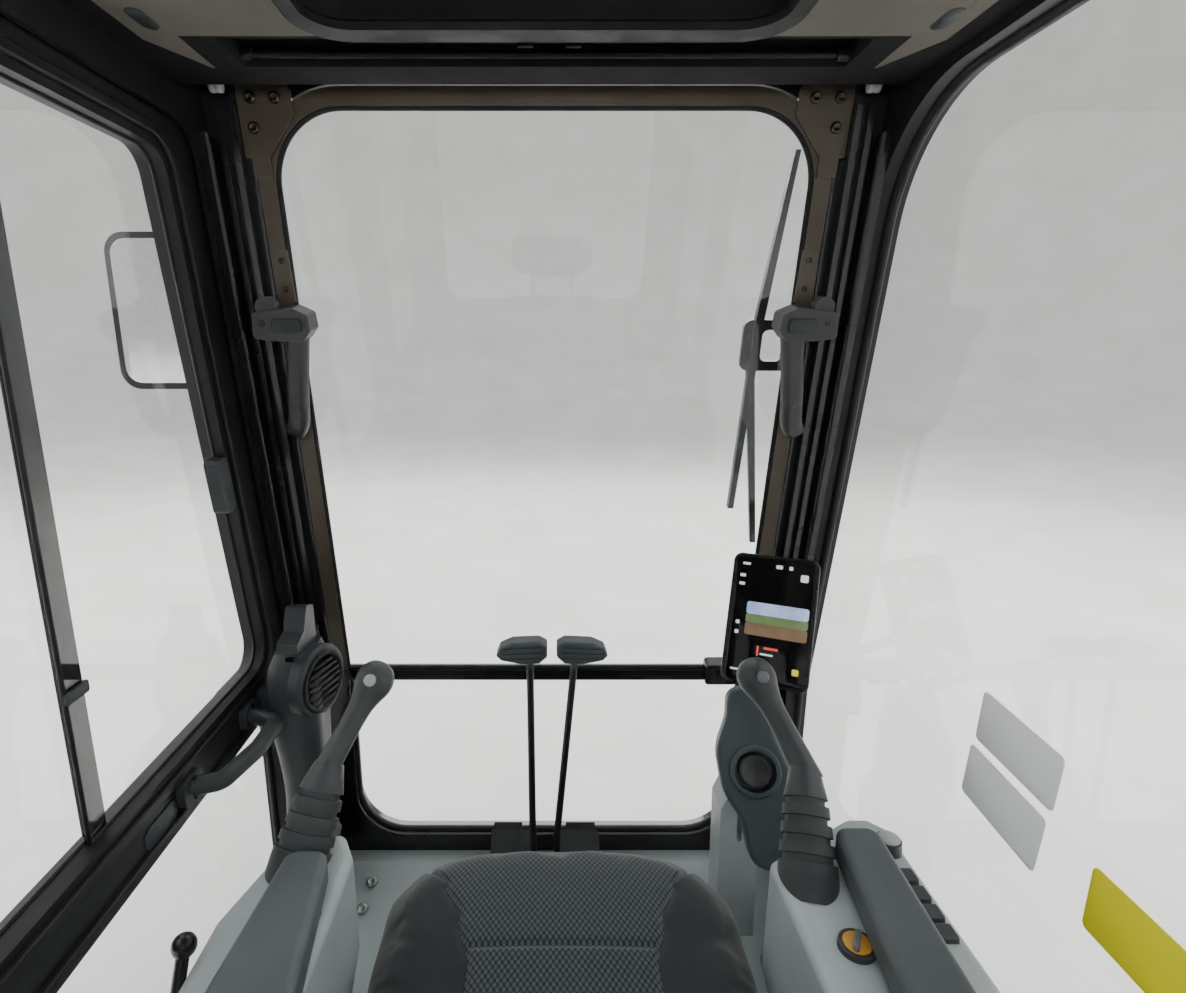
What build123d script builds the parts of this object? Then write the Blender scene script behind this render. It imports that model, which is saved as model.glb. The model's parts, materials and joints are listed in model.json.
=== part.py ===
from build123d import *
from math import cos, radians, sin
import os

os.makedirs("parts", exist_ok=True)

# Operator cab of a crawler excavator: +X right, +Y forward, +Z up, millimetres.
# The origin is the centre of the four mounting holes on the underside.

# Shell
CAB_WIDTH = 1040
FRONT_Y = 948
REAR_Y = -860
ROOF_Z = 1700
ROOF_THICK = 42
BASE_HEIGHT = 100
FLOOR_PLATE = 10
WALL = 45
HALF = CAB_WIDTH / 2
INNER = HALF - WALL
RAIL_Z = ROOF_Z - ROOF_THICK
FLOOR_Z = BASE_HEIGHT + FLOOR_PLATE
SHELL_CORNER = 85
FIT = 0.3

# Cab mounts
MOUNT_X = 840
MOUNT_Y = 1400
MOUNT_HOLE_R = 11
BEAM = 120

# Windshield: the upper pane leans back above a narrow bar
SPLIT_Z = 619
SPLIT_Y = 903.5
LEAN = 10.9
FRAME_DEPTH = 44
PILLAR_FACE = 85
CLEAR_HALF = INNER - PILLAR_FACE
FRAME_LIP = 26
OPEN_HALF = CLEAR_HALF + FRAME_LIP
CLEAR_TOP_Z = ROOF_Z - 115
CLEAR_CORNER = 105
LOWER_GLASS_BOTTOM = 254
LOWER_CORNER = 98
BAR_HEIGHT = 16
BAR_DEPTH = 22
BAR_GROOVE = 3
CATCH_AT = (133, 24)
CATCH_SIZE = (62, 46, 26)
GLASS = 6
SLOPE = cos(radians(LEAN)), sin(radians(LEAN))
LEAN_RATE = SLOPE[1] / SLOPE[0]
GUIDE_WIDTH = 26
GUIDE_DEEP = 18
GUIDE_X = INNER - 35
CORNER_PLATE = 4
CORNER_PLATE_OUTLINE = ((49, 1621), (103, 1620), (125, 1604), (125, 1572), (84, 1521), (84, 1496), (58, 1496),
                        (58, 1521), (49, 1521))
MOULDING = 14
MOULDING_BACK = (10, 34)

# Window latches: insets from the inner wall and heights about the latch
LATCH_Z = CLEAR_TOP_Z - 285
LATCH_BODY = ((43, 18), (101, 25), (124, 15), (126, -8), (113, -24), (62, -22), (39, -18))
LATCH_GRIP = ((102, -10, 42), (96, -60, 50), (88, -120, 50), (82, -150, 44), (70, -168, 30))
LATCH_FACES = (20, 60)
STRIKER = ((67, 100), (88, 100), (90, 26), (66, 26))

# Left door and its doorway
DOOR_REAR_Y = -100
DOOR_BOTTOM_Z = 128
DOOR_TOP_Z = ROOF_Z - 140
DOOR_THICK = 38
DOOR_PROUD = 5
DOOR_SETBACK = 28
DOOR_STILE = 87
DOOR_REAR_STILE = 62
DOOR_TOP_RAIL = 55
DOOR_GAP = 8
DOOR_LAP = 14
DOOR_FLANGE = 7
DOOR_BEAD = (10, 24)
DOOR_BEAD_HIGH = 7
BELT_BOTTOM_Z = 630
BELT_TOP_Z = 721
DOOR_KICK_Z = 176
DOOR_CORNER = 60
PANE_MEET_Y = 345
PANE_LAP = 16
PANE = 5
HINGE_OUT = 22
HINGE_R = 11
HINGE_PIN_R = 5
HINGE_LENGTH = 36
HINGE_ZS = (420, DOOR_TOP_Z - 230)
HINGE_LEAF = 6
HINGE_LEAF_LENGTH = 70
HANDLE_Z = (BELT_BOTTOM_Z + BELT_TOP_Z) / 2
HANDLE_OUT = 60
HANDLE_YS = (488, 672)
HANDLE_R = 13

# Side windows
RIGHT_REAR_Y = -140
RIGHT_SILL_Z = 720
RIGHT_FRONT_SILL_Z = 300
RIGHT_STEP_Y = 70
RIGHT_TOP_Z = ROOF_Z - 121
RIGHT_PILLAR = 20
RIGHT_CORNER = 190
QUARTER_FRONT_Y = -230
QUARTER_REAR_Y = -770
QUARTER_SILL_Z = 760
QUARTER_TOP_Z = ROOF_Z - 155
WINDOW_CORNER = 70
SIDE_GLASS_IN = 20

# Rear wall
REAR_WALL = 40
REAR_WINDOW_HALF = CLEAR_HALF
REAR_SILL_Z = 800
REAR_TOP_Z = ROOF_Z - 170

# Roof hatch
HATCH_HALF = 240
HATCH_REAR_Y = -60
HATCH_FRONT_Y = 480
HATCH_CORNER = 40
HATCH_FRAME = 22
HATCH_LIP = 28
HATCH_THICK = 24
HATCH_HINGE_R = 9
HATCH_PIN_R = 4
HATCH_KNUCKLE_XS = (-150, 150)
HATCH_KNUCKLE = 30
HATCH_EAR = 14
CURB = 14

# Ceiling: the liner stops short of the windshield and reaches forward only in two side tips
CEILING_Z = ROOF_Z - 100
LINER = 10
LINER_GAP = 0.3
LINER_HALF = INNER - 30
LINER_FRONT_Y = 518
LINER_TIP_X = CLEAR_HALF + 12
LINER_TIP_Y = 604
HEADER_LIP_Y = 656
SEAL_WIDTH = 24
SEAL_FRONT_WIDTH = 36
SEAL_CORNER = 60
SEAL_THICK = 8
ROD_R = 4
ROD_BOSS = (7, 14)
ROD_HALF = INNER - 118
ROD_Y = 592
ROD_UP = 10
RECESS_Y = (524, 600)
RECESS_DEEP = 24
TAB_XS = (-22, 32)
TAB_SIZE = (17, 5, 30)
TAB_BLOCK = (28, 14, 16)

# Seat
SEAT_X = 22
CUSHION_TOP_Z = 517
CUSHION_THICK = 105
CUSHION_FRONT_Y = 583
CUSHION_REAR_Y = 95
CUSHION_WIDTH = 2 * INNER - 450
CUSHION_SIDE = ((205, 95), (209, 155), (248, 225), (258, 390), (247, 498), (222, 552), (140, 592), (0, 607))
CUSHION_ROUND = 26
PEDESTAL_TOP_Z = 330
PEDESTAL_WIDTH = CUSHION_WIDTH - 100
RAIL_HEIGHT = 18
RAIL_WIDTH = 36
RAIL_SPREAD = CUSHION_WIDTH - 200
RECLINE_Y = 60
RECLINE_Z = 560
RECLINE_REST = 35
RECLINE_PIN_R = 8
BACK_LENGTH = 545
BACK_WIDTH = CUSHION_WIDTH - 30
BACK_THICK = 95
HEADREST_WIDTH = 270
HEADREST_HEIGHT = 150
HEADREST_THICK = 75
HEADREST_GAP = 28
POST_R = 6

# Consoles and joysticks
CONSOLE_TOP_Z = 620
CONSOLE_BOTTOM_Z = 400
CONSOLE_REAR_Y = 70
LEFT_CONSOLE_X = (98 - INNER, 228 - INNER)
RIGHT_CONSOLE_X = (INNER - 188, INNER - 7)
CONSOLES = ({"name": "left", "xs": LEFT_CONSOLE_X, "inward": 1, "front": 470, "inner_cut": (22, 42),
             "outer_cut": (38, 140)},
            {"name": "right", "xs": RIGHT_CONSOLE_X, "inward": -1, "front": 500, "inner_cut": (132, 79),
             "outer_cut": (20, 20)})
WELL_R = 30
ARMREST_TOP_Z = 668
ARMREST_THICK = 34
ARMREST_REAR_Y = 90
ARMRESTS = ({"name": "left", "side": -1, "front": (213, 164), "rear": (254, 144), "front_y": 386},
            {"name": "right", "side": 1, "front": (109, 55), "rear": (149, 72), "front_y": 425})
STICKS = ({"name": "left", "base": (163 - INNER, 421, CONSOLE_TOP_Z), "collar": (186 - INNER, 488, 714),
           "head": (230 - INNER, 571, 790), "boot_r": 38},
          {"name": "right", "base": (INNER - 149, 396, CONSOLE_TOP_Z), "collar": (INNER - 130, 478, 712),
           "head": (INNER - 171, 571, 795), "boot_r": 36})
STICK_R = 27
GRIP_LOW_R = 17
GRIP_WAIST_R = 15.5
GRIP_TOP_R = 20
BUTTON_R = 9
BOOT_RIBS = 4
BOOT_SHARE = 0.7
BOOT_SHRINK = 2.2
BOOT_GROOVE = 6
TILT_Y = 110
TILT_Z = 440
TILT_PIN_R = 8
TILT_PIN_LENGTH = 40
TILT_EAR = 8
CONSOLE_FLAT_Y = 310
SWITCHES = ({"x": 29, "y": 438, "r": 17, "high": 16}, {"x": 136, "y": 293, "r": 20, "high": 7})
ROCKER_INSET = 31
ROCKER_YS = (390, 363, 336, 309)
ROCKER_SIZE = (24, 22, 6)

# Travel levers: a flat ribbed grip on each rod, thinner towards its outer end
LEVER_Y = 796
LEVER_Z = 727
LEVER_FOOT_Y = 775
LEVERS = ({"name": "left", "side": -1, "inner_x": 4, "rod_top": -27, "rod_low": -23},
          {"name": "right", "side": 1, "inner_x": 21, "rod_top": 54, "rod_low": 23})
LEVER_ROD_R = 6.5
GRIP_THICK = 34
GRIP_OUTLINE = ((91, -4), (84, 11), (62, 21), (14, 23), (0, 15), (0, -6), (14, -19), (44, -21), (82, -13))
GRIP_GROOVES = (-8, 2, 12)
GRIP_GROOVE = 3
TOE_Y = 600
TOE_Z = 215
TOE_TOP = 30

# Monitor, front pod, duct
MONITOR_AT = (INNER - 108, 708, 823)
MONITOR_SIZE = (136, 212, 26)
MONITOR_YAW = 24
MONITOR_PITCH = 25
POD_AT = (INNER - 119, 690, 557)
POD_FACE = (-0.151, -0.903, 0.402)
POD_OUTLINE = ((-35, 131), (-10, 134), (12, 110), (40, 46), (60, 0), (64, -33), (58, -70), (46, -150),
               (6, -150), (-22, -82), (-49, -42), (-59, -5), (-63, 24), (-57, 56), (-48, 91))
POD_THICK = 46
CUP_R = 34
CUP_RIM = 9
CUP_DEEP = 30
STAND_X = (INNER - 153, INNER - 80)
STAND_NECK = ((430, 0), (480, 22), (700, 22))
STAND_PAD_AT = (0, 15)
STAND_PAD = (30, 90)
STAND_PAD_REACH = 50
DUCT_SECTIONS = ({"z": 330, "x": 44, "y": 800, "wide": 60, "deep": 96}, {"z": 440, "x": 46, "y": 752, "wide": 64, "deep": 92},
                 {"z": 560, "x": 64, "y": 716, "wide": 74, "deep": 84}, {"z": 640, "x": 60, "y": 716, "wide": 84, "deep": 96},
                 {"z": 720, "x": 58, "y": 724, "wide": 88, "deep": 100}, {"z": 772, "x": 62, "y": 732, "wide": 60, "deep": 76})
VENT_AT = (104, 712, 712)
VENT_R = 62
VENT_THICK = 24

# Mirror and wiper
MIRROR_ARM_Z = DOOR_TOP_Z - 80
MIRROR_AT = (-HALF - 160, 938, MIRROR_ARM_Z - 162)
MIRROR_SIZE = (196, 272, 34)
MIRROR_ARM_R = 10
BLADE_TOP_Z = CLEAR_TOP_Z - 50


def screen_y(z):
    """Inner face of the upper windshield plane at a height."""
    return SPLIT_Y - (z - SPLIT_Z) * LEAN_RATE


def front_edge(z, back):
    """A point on a line that follows the windshield at a distance behind it."""
    return (screen_y(max(z, SPLIT_Z)) - back, z)


def toe_z(y):
    """Just above the toe board, level behind it and at its top."""
    share = min(max((y - TOE_Y) / (SPLIT_Y - TOE_TOP - TOE_Y), 0), 1)
    return FLOOR_Z + (TOE_Z - FLOOR_Z) * share + FIT


SCREEN = Plane(origin=(0, SPLIT_Y, SPLIT_Z), x_dir=(1, 0, 0), z_dir=(0, -SLOPE[0], -SLOPE[1]))
LOWER_SCREEN = Plane(origin=(0, SPLIT_Y, 0), x_dir=(1, 0, 0), z_dir=(0, -1, 0))


def up_slope(z):
    """Height along the leaning plane of a height above the floor."""
    return (z - SPLIT_Z) / SLOPE[0]


def polygon(points, radius=0, grow=0):
    """A closed outline with rounded corners, grown or shrunk by an amount."""
    with BuildSketch() as outline:
        with BuildLine():
            Polyline(*points, close=True)
        make_face()
        if radius:
            fillet(outline.vertices(), radius)
        if grow:
            offset(amount=grow)
    return outline.sketch


def axis_plane(origin, along):
    """A plane whose local y runs along an axis, for turning a profile round it."""
    across = Vector(1, 0, -along.X / along.Z)
    return Plane(origin=origin, x_dir=across, z_dir=across.cross(along))


def finish(builder, name):
    builder.part.label = name
    export_step(builder.part, f"parts/{name}.step")


# Outlines of the sides, as seen in Y and Z
SHELL_SIDE = [(REAR_Y, BASE_HEIGHT), (FRONT_Y, BASE_HEIGHT), (FRONT_Y, SPLIT_Z),
              (screen_y(RAIL_Z) + FRAME_DEPTH, RAIL_Z), (REAR_Y, RAIL_Z)]
DOOR_SIDE = [(DOOR_REAR_Y, DOOR_BOTTOM_Z), front_edge(DOOR_BOTTOM_Z, DOOR_SETBACK),
             front_edge(SPLIT_Z, DOOR_SETBACK), front_edge(DOOR_TOP_Z, DOOR_SETBACK),
             (DOOR_REAR_Y, DOOR_TOP_Z)]
PANE_REAR_Y = DOOR_REAR_Y + DOOR_REAR_STILE
PANE_TOP_Z = DOOR_TOP_Z - DOOR_TOP_RAIL
STILE_BACK = DOOR_SETBACK + DOOR_STILE
DOOR_WINDOW = [(PANE_REAR_Y, BELT_TOP_Z), front_edge(BELT_TOP_Z, STILE_BACK),
               front_edge(PANE_TOP_Z, STILE_BACK), (PANE_REAR_Y, PANE_TOP_Z)]
DOOR_LOWER_WINDOW = [(PANE_REAR_Y, DOOR_KICK_Z), front_edge(DOOR_KICK_Z, STILE_BACK),
                     front_edge(BELT_BOTTOM_Z, STILE_BACK), (PANE_REAR_Y, BELT_BOTTOM_Z)]
QUARTER_WINDOW = [(QUARTER_REAR_Y, QUARTER_SILL_Z), (QUARTER_FRONT_Y, QUARTER_SILL_Z),
                  (QUARTER_FRONT_Y, QUARTER_TOP_Z), (QUARTER_REAR_Y, QUARTER_TOP_Z)]
RIGHT_WINDOW = [(RIGHT_REAR_Y, RIGHT_SILL_Z), (RIGHT_STEP_Y, RIGHT_SILL_Z),
                (RIGHT_STEP_Y + 60, RIGHT_FRONT_SILL_Z),
                front_edge(RIGHT_FRONT_SILL_Z, RIGHT_PILLAR), front_edge(SPLIT_Z, RIGHT_PILLAR),
                front_edge(RIGHT_TOP_Z, RIGHT_PILLAR), (RIGHT_REAR_Y, RIGHT_TOP_Z)]


def right_window(grow=0):
    """The large right window, with a wide radius at its top front corner."""
    with BuildSketch() as outline:
        with BuildLine():
            Polyline(*RIGHT_WINDOW, close=True)
        make_face()
        top = outline.vertices().group_by(Axis.Y)[-1]
        fillet(top.sort_by(Axis.X)[-1], RIGHT_CORNER)
        sharp = [v for v in outline.vertices() if v.Y < SPLIT_Z + 200 and v.X > RIGHT_STEP_Y - 10]
        fillet(sharp, 40)
        rear = outline.vertices().group_by(Axis.X)[0]
        fillet(rear, WINDOW_CORNER)
        if grow:
            offset(amount=grow)
    return outline.sketch


# Base frame: a rim of box beams with a cross beam, and a boss at each mounting hole
with BuildPart() as base_frame:
    with BuildSketch():
        with BuildLine():
            Polyline((-HALF, REAR_Y), (HALF, REAR_Y), (HALF, FRONT_Y), (-HALF, FRONT_Y), close=True)
        make_face()
    extrude(amount=BASE_HEIGHT)
    fillet(base_frame.edges().filter_by(Axis.Z), 30)
    with BuildSketch():
        for y in (-MOUNT_Y / 4, MOUNT_Y / 4):
            with Locations((0, y + (FRONT_Y + REAR_Y) / 2)):
                RectangleRounded(2 * (HALF - BEAM), MOUNT_Y / 2 - BEAM, 40)
    extrude(amount=BASE_HEIGHT, mode=Mode.SUBTRACT)
    with Locations(Plane.XY.offset(BASE_HEIGHT)):
        with GridLocations(MOUNT_X, MOUNT_Y, 2, 2):
            Hole(MOUNT_HOLE_R)
finish(base_frame, "base_frame")

# Floor plate with the sloping toe board at the front
with BuildPart() as floor_plate:
    with BuildSketch(Plane.YZ.offset(-INNER)):
        with BuildLine():
            Polyline((REAR_Y + REAR_WALL, BASE_HEIGHT), (SPLIT_Y, BASE_HEIGHT), (SPLIT_Y, TOE_Z),
                     (SPLIT_Y - TOE_TOP, TOE_Z), (TOE_Y, FLOOR_Z), (REAR_Y + REAR_WALL, FLOOR_Z), close=True)
        make_face()
    extrude(amount=2 * INNER)
    with Locations(Plane.XY.offset(FLOOR_Z)):
        with GridLocations(MOUNT_X, MOUNT_Y, 2, 2):
            Hole(MOUNT_HOLE_R * 2)
finish(floor_plate, "floor_plate")

# Left side frame: pillars, sill and roof rail round the doorway and the quarter window
with BuildPart() as left_side_frame:
    with BuildSketch(Plane.YZ.offset(-HALF)) as side:
        add(polygon(SHELL_SIDE))
        corners = side.vertices().group_by(Axis.Y)[-1]
        fillet(corners, SHELL_CORNER)
    extrude(amount=WALL)
    with BuildSketch(Plane.YZ.offset(-HALF)):
        add(polygon(DOOR_SIDE, DOOR_CORNER, DOOR_GAP))
    extrude(amount=WALL - DOOR_FLANGE, mode=Mode.SUBTRACT)
    with BuildSketch(Plane.YZ.offset(-HALF)):
        add(polygon(DOOR_SIDE, DOOR_CORNER, -DOOR_LAP))
        add(polygon(QUARTER_WINDOW, WINDOW_CORNER))
    extrude(amount=WALL, mode=Mode.SUBTRACT)
finish(left_side_frame, "left_side_frame")

# Right side frame
with BuildPart() as right_side_frame:
    with BuildSketch(Plane.YZ.offset(INNER)) as side:
        add(polygon(SHELL_SIDE))
        corners = side.vertices().group_by(Axis.Y)[-1]
        fillet(corners, SHELL_CORNER)
    extrude(amount=WALL)
    with BuildSketch(Plane.YZ.offset(INNER)):
        add(right_window())
        add(polygon(QUARTER_WINDOW, WINDOW_CORNER))
    extrude(amount=WALL, mode=Mode.SUBTRACT)
finish(right_side_frame, "right_side_frame")

# Front frame: the surround of both windshields, bent at the bar between them
with BuildPart() as front_frame:
    with BuildSketch(SCREEN):
        with BuildLine():
            Polyline((-INNER, -FRAME_DEPTH), (INNER, -FRAME_DEPTH), (INNER, up_slope(RAIL_Z)),
                     (-INNER, up_slope(RAIL_Z)), close=True)
        make_face()
    extrude(amount=-FRAME_DEPTH)
    split(bisect_by=Plane.XY.offset(SPLIT_Z - 1), keep=Keep.TOP)
    with BuildSketch(LOWER_SCREEN):
        with BuildLine():
            Polyline((-INNER, BASE_HEIGHT), (INNER, BASE_HEIGHT), (INNER, SPLIT_Z), (-INNER, SPLIT_Z),
                     close=True)
        make_face()
    extrude(amount=-FRAME_DEPTH)
    top_cut = Plane.XY.offset(RAIL_Z)
    split(bisect_by=top_cut, keep=Keep.BOTTOM)
    with BuildSketch(SCREEN) as hole:
        with BuildLine():
            Polyline((-OPEN_HALF, -1), (OPEN_HALF, -1), (OPEN_HALF, up_slope(CLEAR_TOP_Z) + FRAME_LIP),
                     (-OPEN_HALF, up_slope(CLEAR_TOP_Z) + FRAME_LIP), close=True)
        make_face()
        fillet(hole.vertices().group_by(Axis.Y)[-1], CLEAR_CORNER + FRAME_LIP)
    extrude(amount=FRAME_DEPTH * 2, both=True, mode=Mode.SUBTRACT)
    with BuildSketch(LOWER_SCREEN) as hole:
        with BuildLine():
            Polyline((-CLEAR_HALF, LOWER_GLASS_BOTTOM), (CLEAR_HALF, LOWER_GLASS_BOTTOM),
                     (CLEAR_HALF, SPLIT_Z - BAR_HEIGHT / 2), (-CLEAR_HALF, SPLIT_Z - BAR_HEIGHT / 2),
                     close=True)
        make_face()
        fillet(hole.vertices().group_by(Axis.Y)[0], LOWER_CORNER)
    extrude(amount=FRAME_DEPTH * 2, both=True, mode=Mode.SUBTRACT)
finish(front_frame, "front_frame")

# Rear wall with its window and a stiffening bead below
with BuildPart() as rear_wall:
    with BuildSketch(Plane.XZ.offset(-REAR_Y)) as wall:
        with BuildLine():
            Polyline((-INNER, BASE_HEIGHT), (INNER, BASE_HEIGHT), (INNER, RAIL_Z), (-INNER, RAIL_Z),
                     close=True)
        make_face()
    extrude(amount=-REAR_WALL)
    with BuildSketch(Plane.XZ.offset(-REAR_Y)):
        with Locations((0, (REAR_SILL_Z + REAR_TOP_Z) / 2)):
            RectangleRounded(2 * REAR_WINDOW_HALF, REAR_TOP_Z - REAR_SILL_Z, WINDOW_CORNER)
    extrude(amount=-REAR_WALL, mode=Mode.SUBTRACT)
    with BuildSketch(Plane.XZ.offset(-REAR_Y)):
        with Locations((0, (REAR_SILL_Z + BASE_HEIGHT) / 2)):
            RectangleRounded(2 * REAR_WINDOW_HALF, (REAR_SILL_Z - BASE_HEIGHT) * 0.6, 60)
    extrude(amount=-REAR_WALL / 4, mode=Mode.SUBTRACT)
    top_edge = rear_wall.edges().filter_by(Axis.X).sort_by(Axis.Z)[-2:].sort_by(Axis.Y)[0]
    chamfer(top_edge, REAR_WALL / 2)
finish(rear_wall, "rear_wall")

# Roof panel: a shallow pressed lid
ROOF_FRONT_Y = screen_y(RAIL_Z) + FRAME_DEPTH + 12
HATCH_MID_Y = (HATCH_REAR_Y + HATCH_FRONT_Y) / 2
HATCH_DEEP = HATCH_FRONT_Y - HATCH_REAR_Y


def hatch_outline(grow):
    """The hatch opening in plan, grown by an amount."""
    with BuildSketch() as outline:
        with Locations((0, HATCH_MID_Y)):
            RectangleRounded(2 * (HATCH_HALF + grow), HATCH_DEEP + 2 * grow, HATCH_CORNER + grow)
    return outline.sketch


with BuildPart() as roof_panel:
    with BuildSketch(Plane.XY.offset(RAIL_Z)):
        with Locations((0, (ROOF_FRONT_Y + REAR_Y - 6) / 2)):
            RectangleRounded(CAB_WIDTH + 12, ROOF_FRONT_Y - REAR_Y + 6, SHELL_CORNER)
    extrude(amount=ROOF_THICK)
    fillet(roof_panel.edges().group_by(Axis.Z)[-1], 26)
    with BuildSketch(Plane.XY.offset(RAIL_Z)):
        with Locations((0, (ROOF_FRONT_Y + REAR_Y) / 2)):
            RectangleRounded(2 * INNER - 20, ROOF_FRONT_Y - REAR_Y - 2 * SHELL_CORNER, 40)
    extrude(amount=ROOF_THICK - 14, mode=Mode.SUBTRACT)
    with BuildSketch(Plane.XY.offset(RAIL_Z)):
        add(hatch_outline(HATCH_FRAME + FIT))
    extrude(amount=ROOF_THICK, mode=Mode.SUBTRACT)
finish(roof_panel, "roof_panel")

# Hatch frame: a deep ring from the ceiling up through the roof, standing up as the curb
LINER_BOTTOM_Z = CEILING_Z - LINER
with BuildPart() as hatch_frame:
    with BuildSketch(Plane.XY.offset(LINER_BOTTOM_Z)):
        add(hatch_outline(HATCH_FRAME))
        add(hatch_outline(0), mode=Mode.SUBTRACT)
    extrude(amount=ROOF_Z + CURB - LINER_BOTTOM_Z)
finish(hatch_frame, "hatch_frame")

# Headliner: a thin moulded ceiling
LINER_REAR_Y = REAR_Y + REAR_WALL + LINER_GAP
LINER_OUTLINE = [(-LINER_HALF, LINER_REAR_Y), (LINER_HALF, LINER_REAR_Y), (LINER_HALF, LINER_FRONT_Y + 8),
                 (LINER_TIP_X + 3, LINER_TIP_Y), (LINER_TIP_X, LINER_TIP_Y), (LINER_TIP_X, LINER_FRONT_Y),
                 (-LINER_TIP_X, LINER_FRONT_Y), (-LINER_TIP_X, LINER_TIP_Y), (-LINER_TIP_X - 3, LINER_TIP_Y),
                 (-LINER_HALF, LINER_FRONT_Y + 8)]
with BuildPart() as headliner:
    with BuildSketch(Plane.XY.offset(LINER_BOTTOM_Z)):
        add(polygon(LINER_OUTLINE))
    extrude(amount=LINER)
    with BuildSketch(Plane.XY.offset(LINER_BOTTOM_Z)):
        add(hatch_outline(HATCH_FRAME + FIT))
    extrude(amount=LINER, mode=Mode.SUBTRACT)
finish(headliner, "headliner")

with BuildPart() as hatch_seal:
    with BuildSketch(Plane.XY.offset(LINER_BOTTOM_Z - FIT)):
        with Locations((0, HATCH_MID_Y + (SEAL_FRONT_WIDTH - SEAL_WIDTH) / 2)):
            RectangleRounded(2 * (HATCH_HALF + SEAL_WIDTH), HATCH_DEEP + SEAL_WIDTH + SEAL_FRONT_WIDTH,
                             SEAL_CORNER)
    extrude(amount=-SEAL_THICK)
    fillet(hatch_seal.edges().group_by(Axis.Z)[0], SEAL_THICK / 2)
    with BuildSketch(Plane.XY.offset(LINER_BOTTOM_Z - FIT)):
        add(hatch_outline(4))
    extrude(amount=-SEAL_THICK, mode=Mode.SUBTRACT)
finish(hatch_seal, "hatch_seal")

# Header trim: one piece along both roof rails and across the front, with the rod's recess and two tabs in it
RECESS_TOP_Z = LINER_BOTTOM_Z + RECESS_DEEP
RECESS_MID_Y = sum(RECESS_Y) / 2
with BuildPart() as header_trim:
    with BuildSketch(Plane.XY.offset(LINER_BOTTOM_Z)):
        with BuildLine():
            Polyline((-INNER + FIT, LINER_REAR_Y), (INNER - FIT, LINER_REAR_Y), (INNER - FIT, SPLIT_Y),
                     (-INNER + FIT, SPLIT_Y), close=True)
        make_face()
        add(polygon(LINER_OUTLINE, 0, FIT), mode=Mode.SUBTRACT)
        with Locations((0, LINER_REAR_Y)):
            Rectangle(2 * LINER_HALF, 4, mode=Mode.SUBTRACT)
    extrude(amount=RAIL_Z - LINER_BOTTOM_Z - FIT)
    with BuildSketch(Plane.YZ.offset(-INNER)):
        with BuildLine():
            Polyline((HEADER_LIP_Y, LINER_BOTTOM_Z - 1), (SPLIT_Y + 1, LINER_BOTTOM_Z - 1), (SPLIT_Y + 1, RAIL_Z),
                     (screen_y(RAIL_Z) - 1, RAIL_Z), (HEADER_LIP_Y + 44, CEILING_Z + 12),
                     (HEADER_LIP_Y, LINER_BOTTOM_Z), close=True)
        make_face()
    extrude(amount=2 * INNER, mode=Mode.SUBTRACT)
    with BuildSketch(Plane.XY.offset(RECESS_TOP_Z)):
        with Locations((0, RECESS_MID_Y)):
            Rectangle(2 * ROD_HALF + ROD_BOSS[1] + 2 * FIT, RECESS_Y[1] - RECESS_Y[0])
    extrude(amount=-RECESS_DEEP - 1, mode=Mode.SUBTRACT)
    with BuildSketch(Plane.XY.offset(RECESS_TOP_Z + 1)):
        for x in TAB_XS:
            with Locations((x, RECESS_Y[0] + 4 + TAB_SIZE[1] / 2)):
                Rectangle(TAB_SIZE[0], TAB_SIZE[1])
    extrude(amount=-TAB_SIZE[2] - 1)
    with BuildSketch(Plane.XY.offset(RECESS_TOP_Z + 1)):
        with Locations((sum(TAB_XS) / 2, RECESS_Y[0] + 2 + TAB_BLOCK[1] / 2)):
            Rectangle(TAB_BLOCK[0], TAB_BLOCK[1])
    extrude(amount=-TAB_BLOCK[2] - 1)
finish(header_trim, "header_trim")

# Glass
with BuildPart() as right_glass:
    with BuildSketch(Plane.YZ.offset(HALF - SIDE_GLASS_IN)):
        add(right_window(-FIT))
    extrude(amount=GLASS)
finish(right_glass, "right_glass")

for name, x in (("left_quarter_glass", -HALF + SIDE_GLASS_IN - GLASS), ("right_quarter_glass", HALF - SIDE_GLASS_IN)):
    with BuildPart() as quarter:
        with BuildSketch(Plane.YZ.offset(x)):
            add(polygon(QUARTER_WINDOW, WINDOW_CORNER, -FIT))
        extrude(amount=GLASS)
    finish(quarter, name)

with BuildPart() as rear_glass:
    with BuildSketch(Plane.XZ.offset(-REAR_Y - REAR_WALL / 2)):
        with Locations((0, (REAR_SILL_Z + REAR_TOP_Z) / 2)):
            RectangleRounded(2 * REAR_WINDOW_HALF - 2 * FIT, REAR_TOP_Z - REAR_SILL_Z - 2 * FIT, WINDOW_CORNER)
    extrude(amount=GLASS)
finish(rear_glass, "rear_glass")

with BuildPart() as lower_windshield:
    with BuildSketch(LOWER_SCREEN.offset(-FRAME_DEPTH / 2)) as sheet:
        with BuildLine():
            Polyline((-CLEAR_HALF + FIT, LOWER_GLASS_BOTTOM + FIT), (CLEAR_HALF - FIT, LOWER_GLASS_BOTTOM + FIT),
                     (CLEAR_HALF - FIT, SPLIT_Z - BAR_HEIGHT / 2 - FIT),
                     (-CLEAR_HALF + FIT, SPLIT_Z - BAR_HEIGHT / 2 - FIT), close=True)
        make_face()
        fillet(sheet.vertices().group_by(Axis.Y)[0], LOWER_CORNER)
    extrude(amount=GLASS)
finish(lower_windshield, "lower_windshield")

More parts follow.
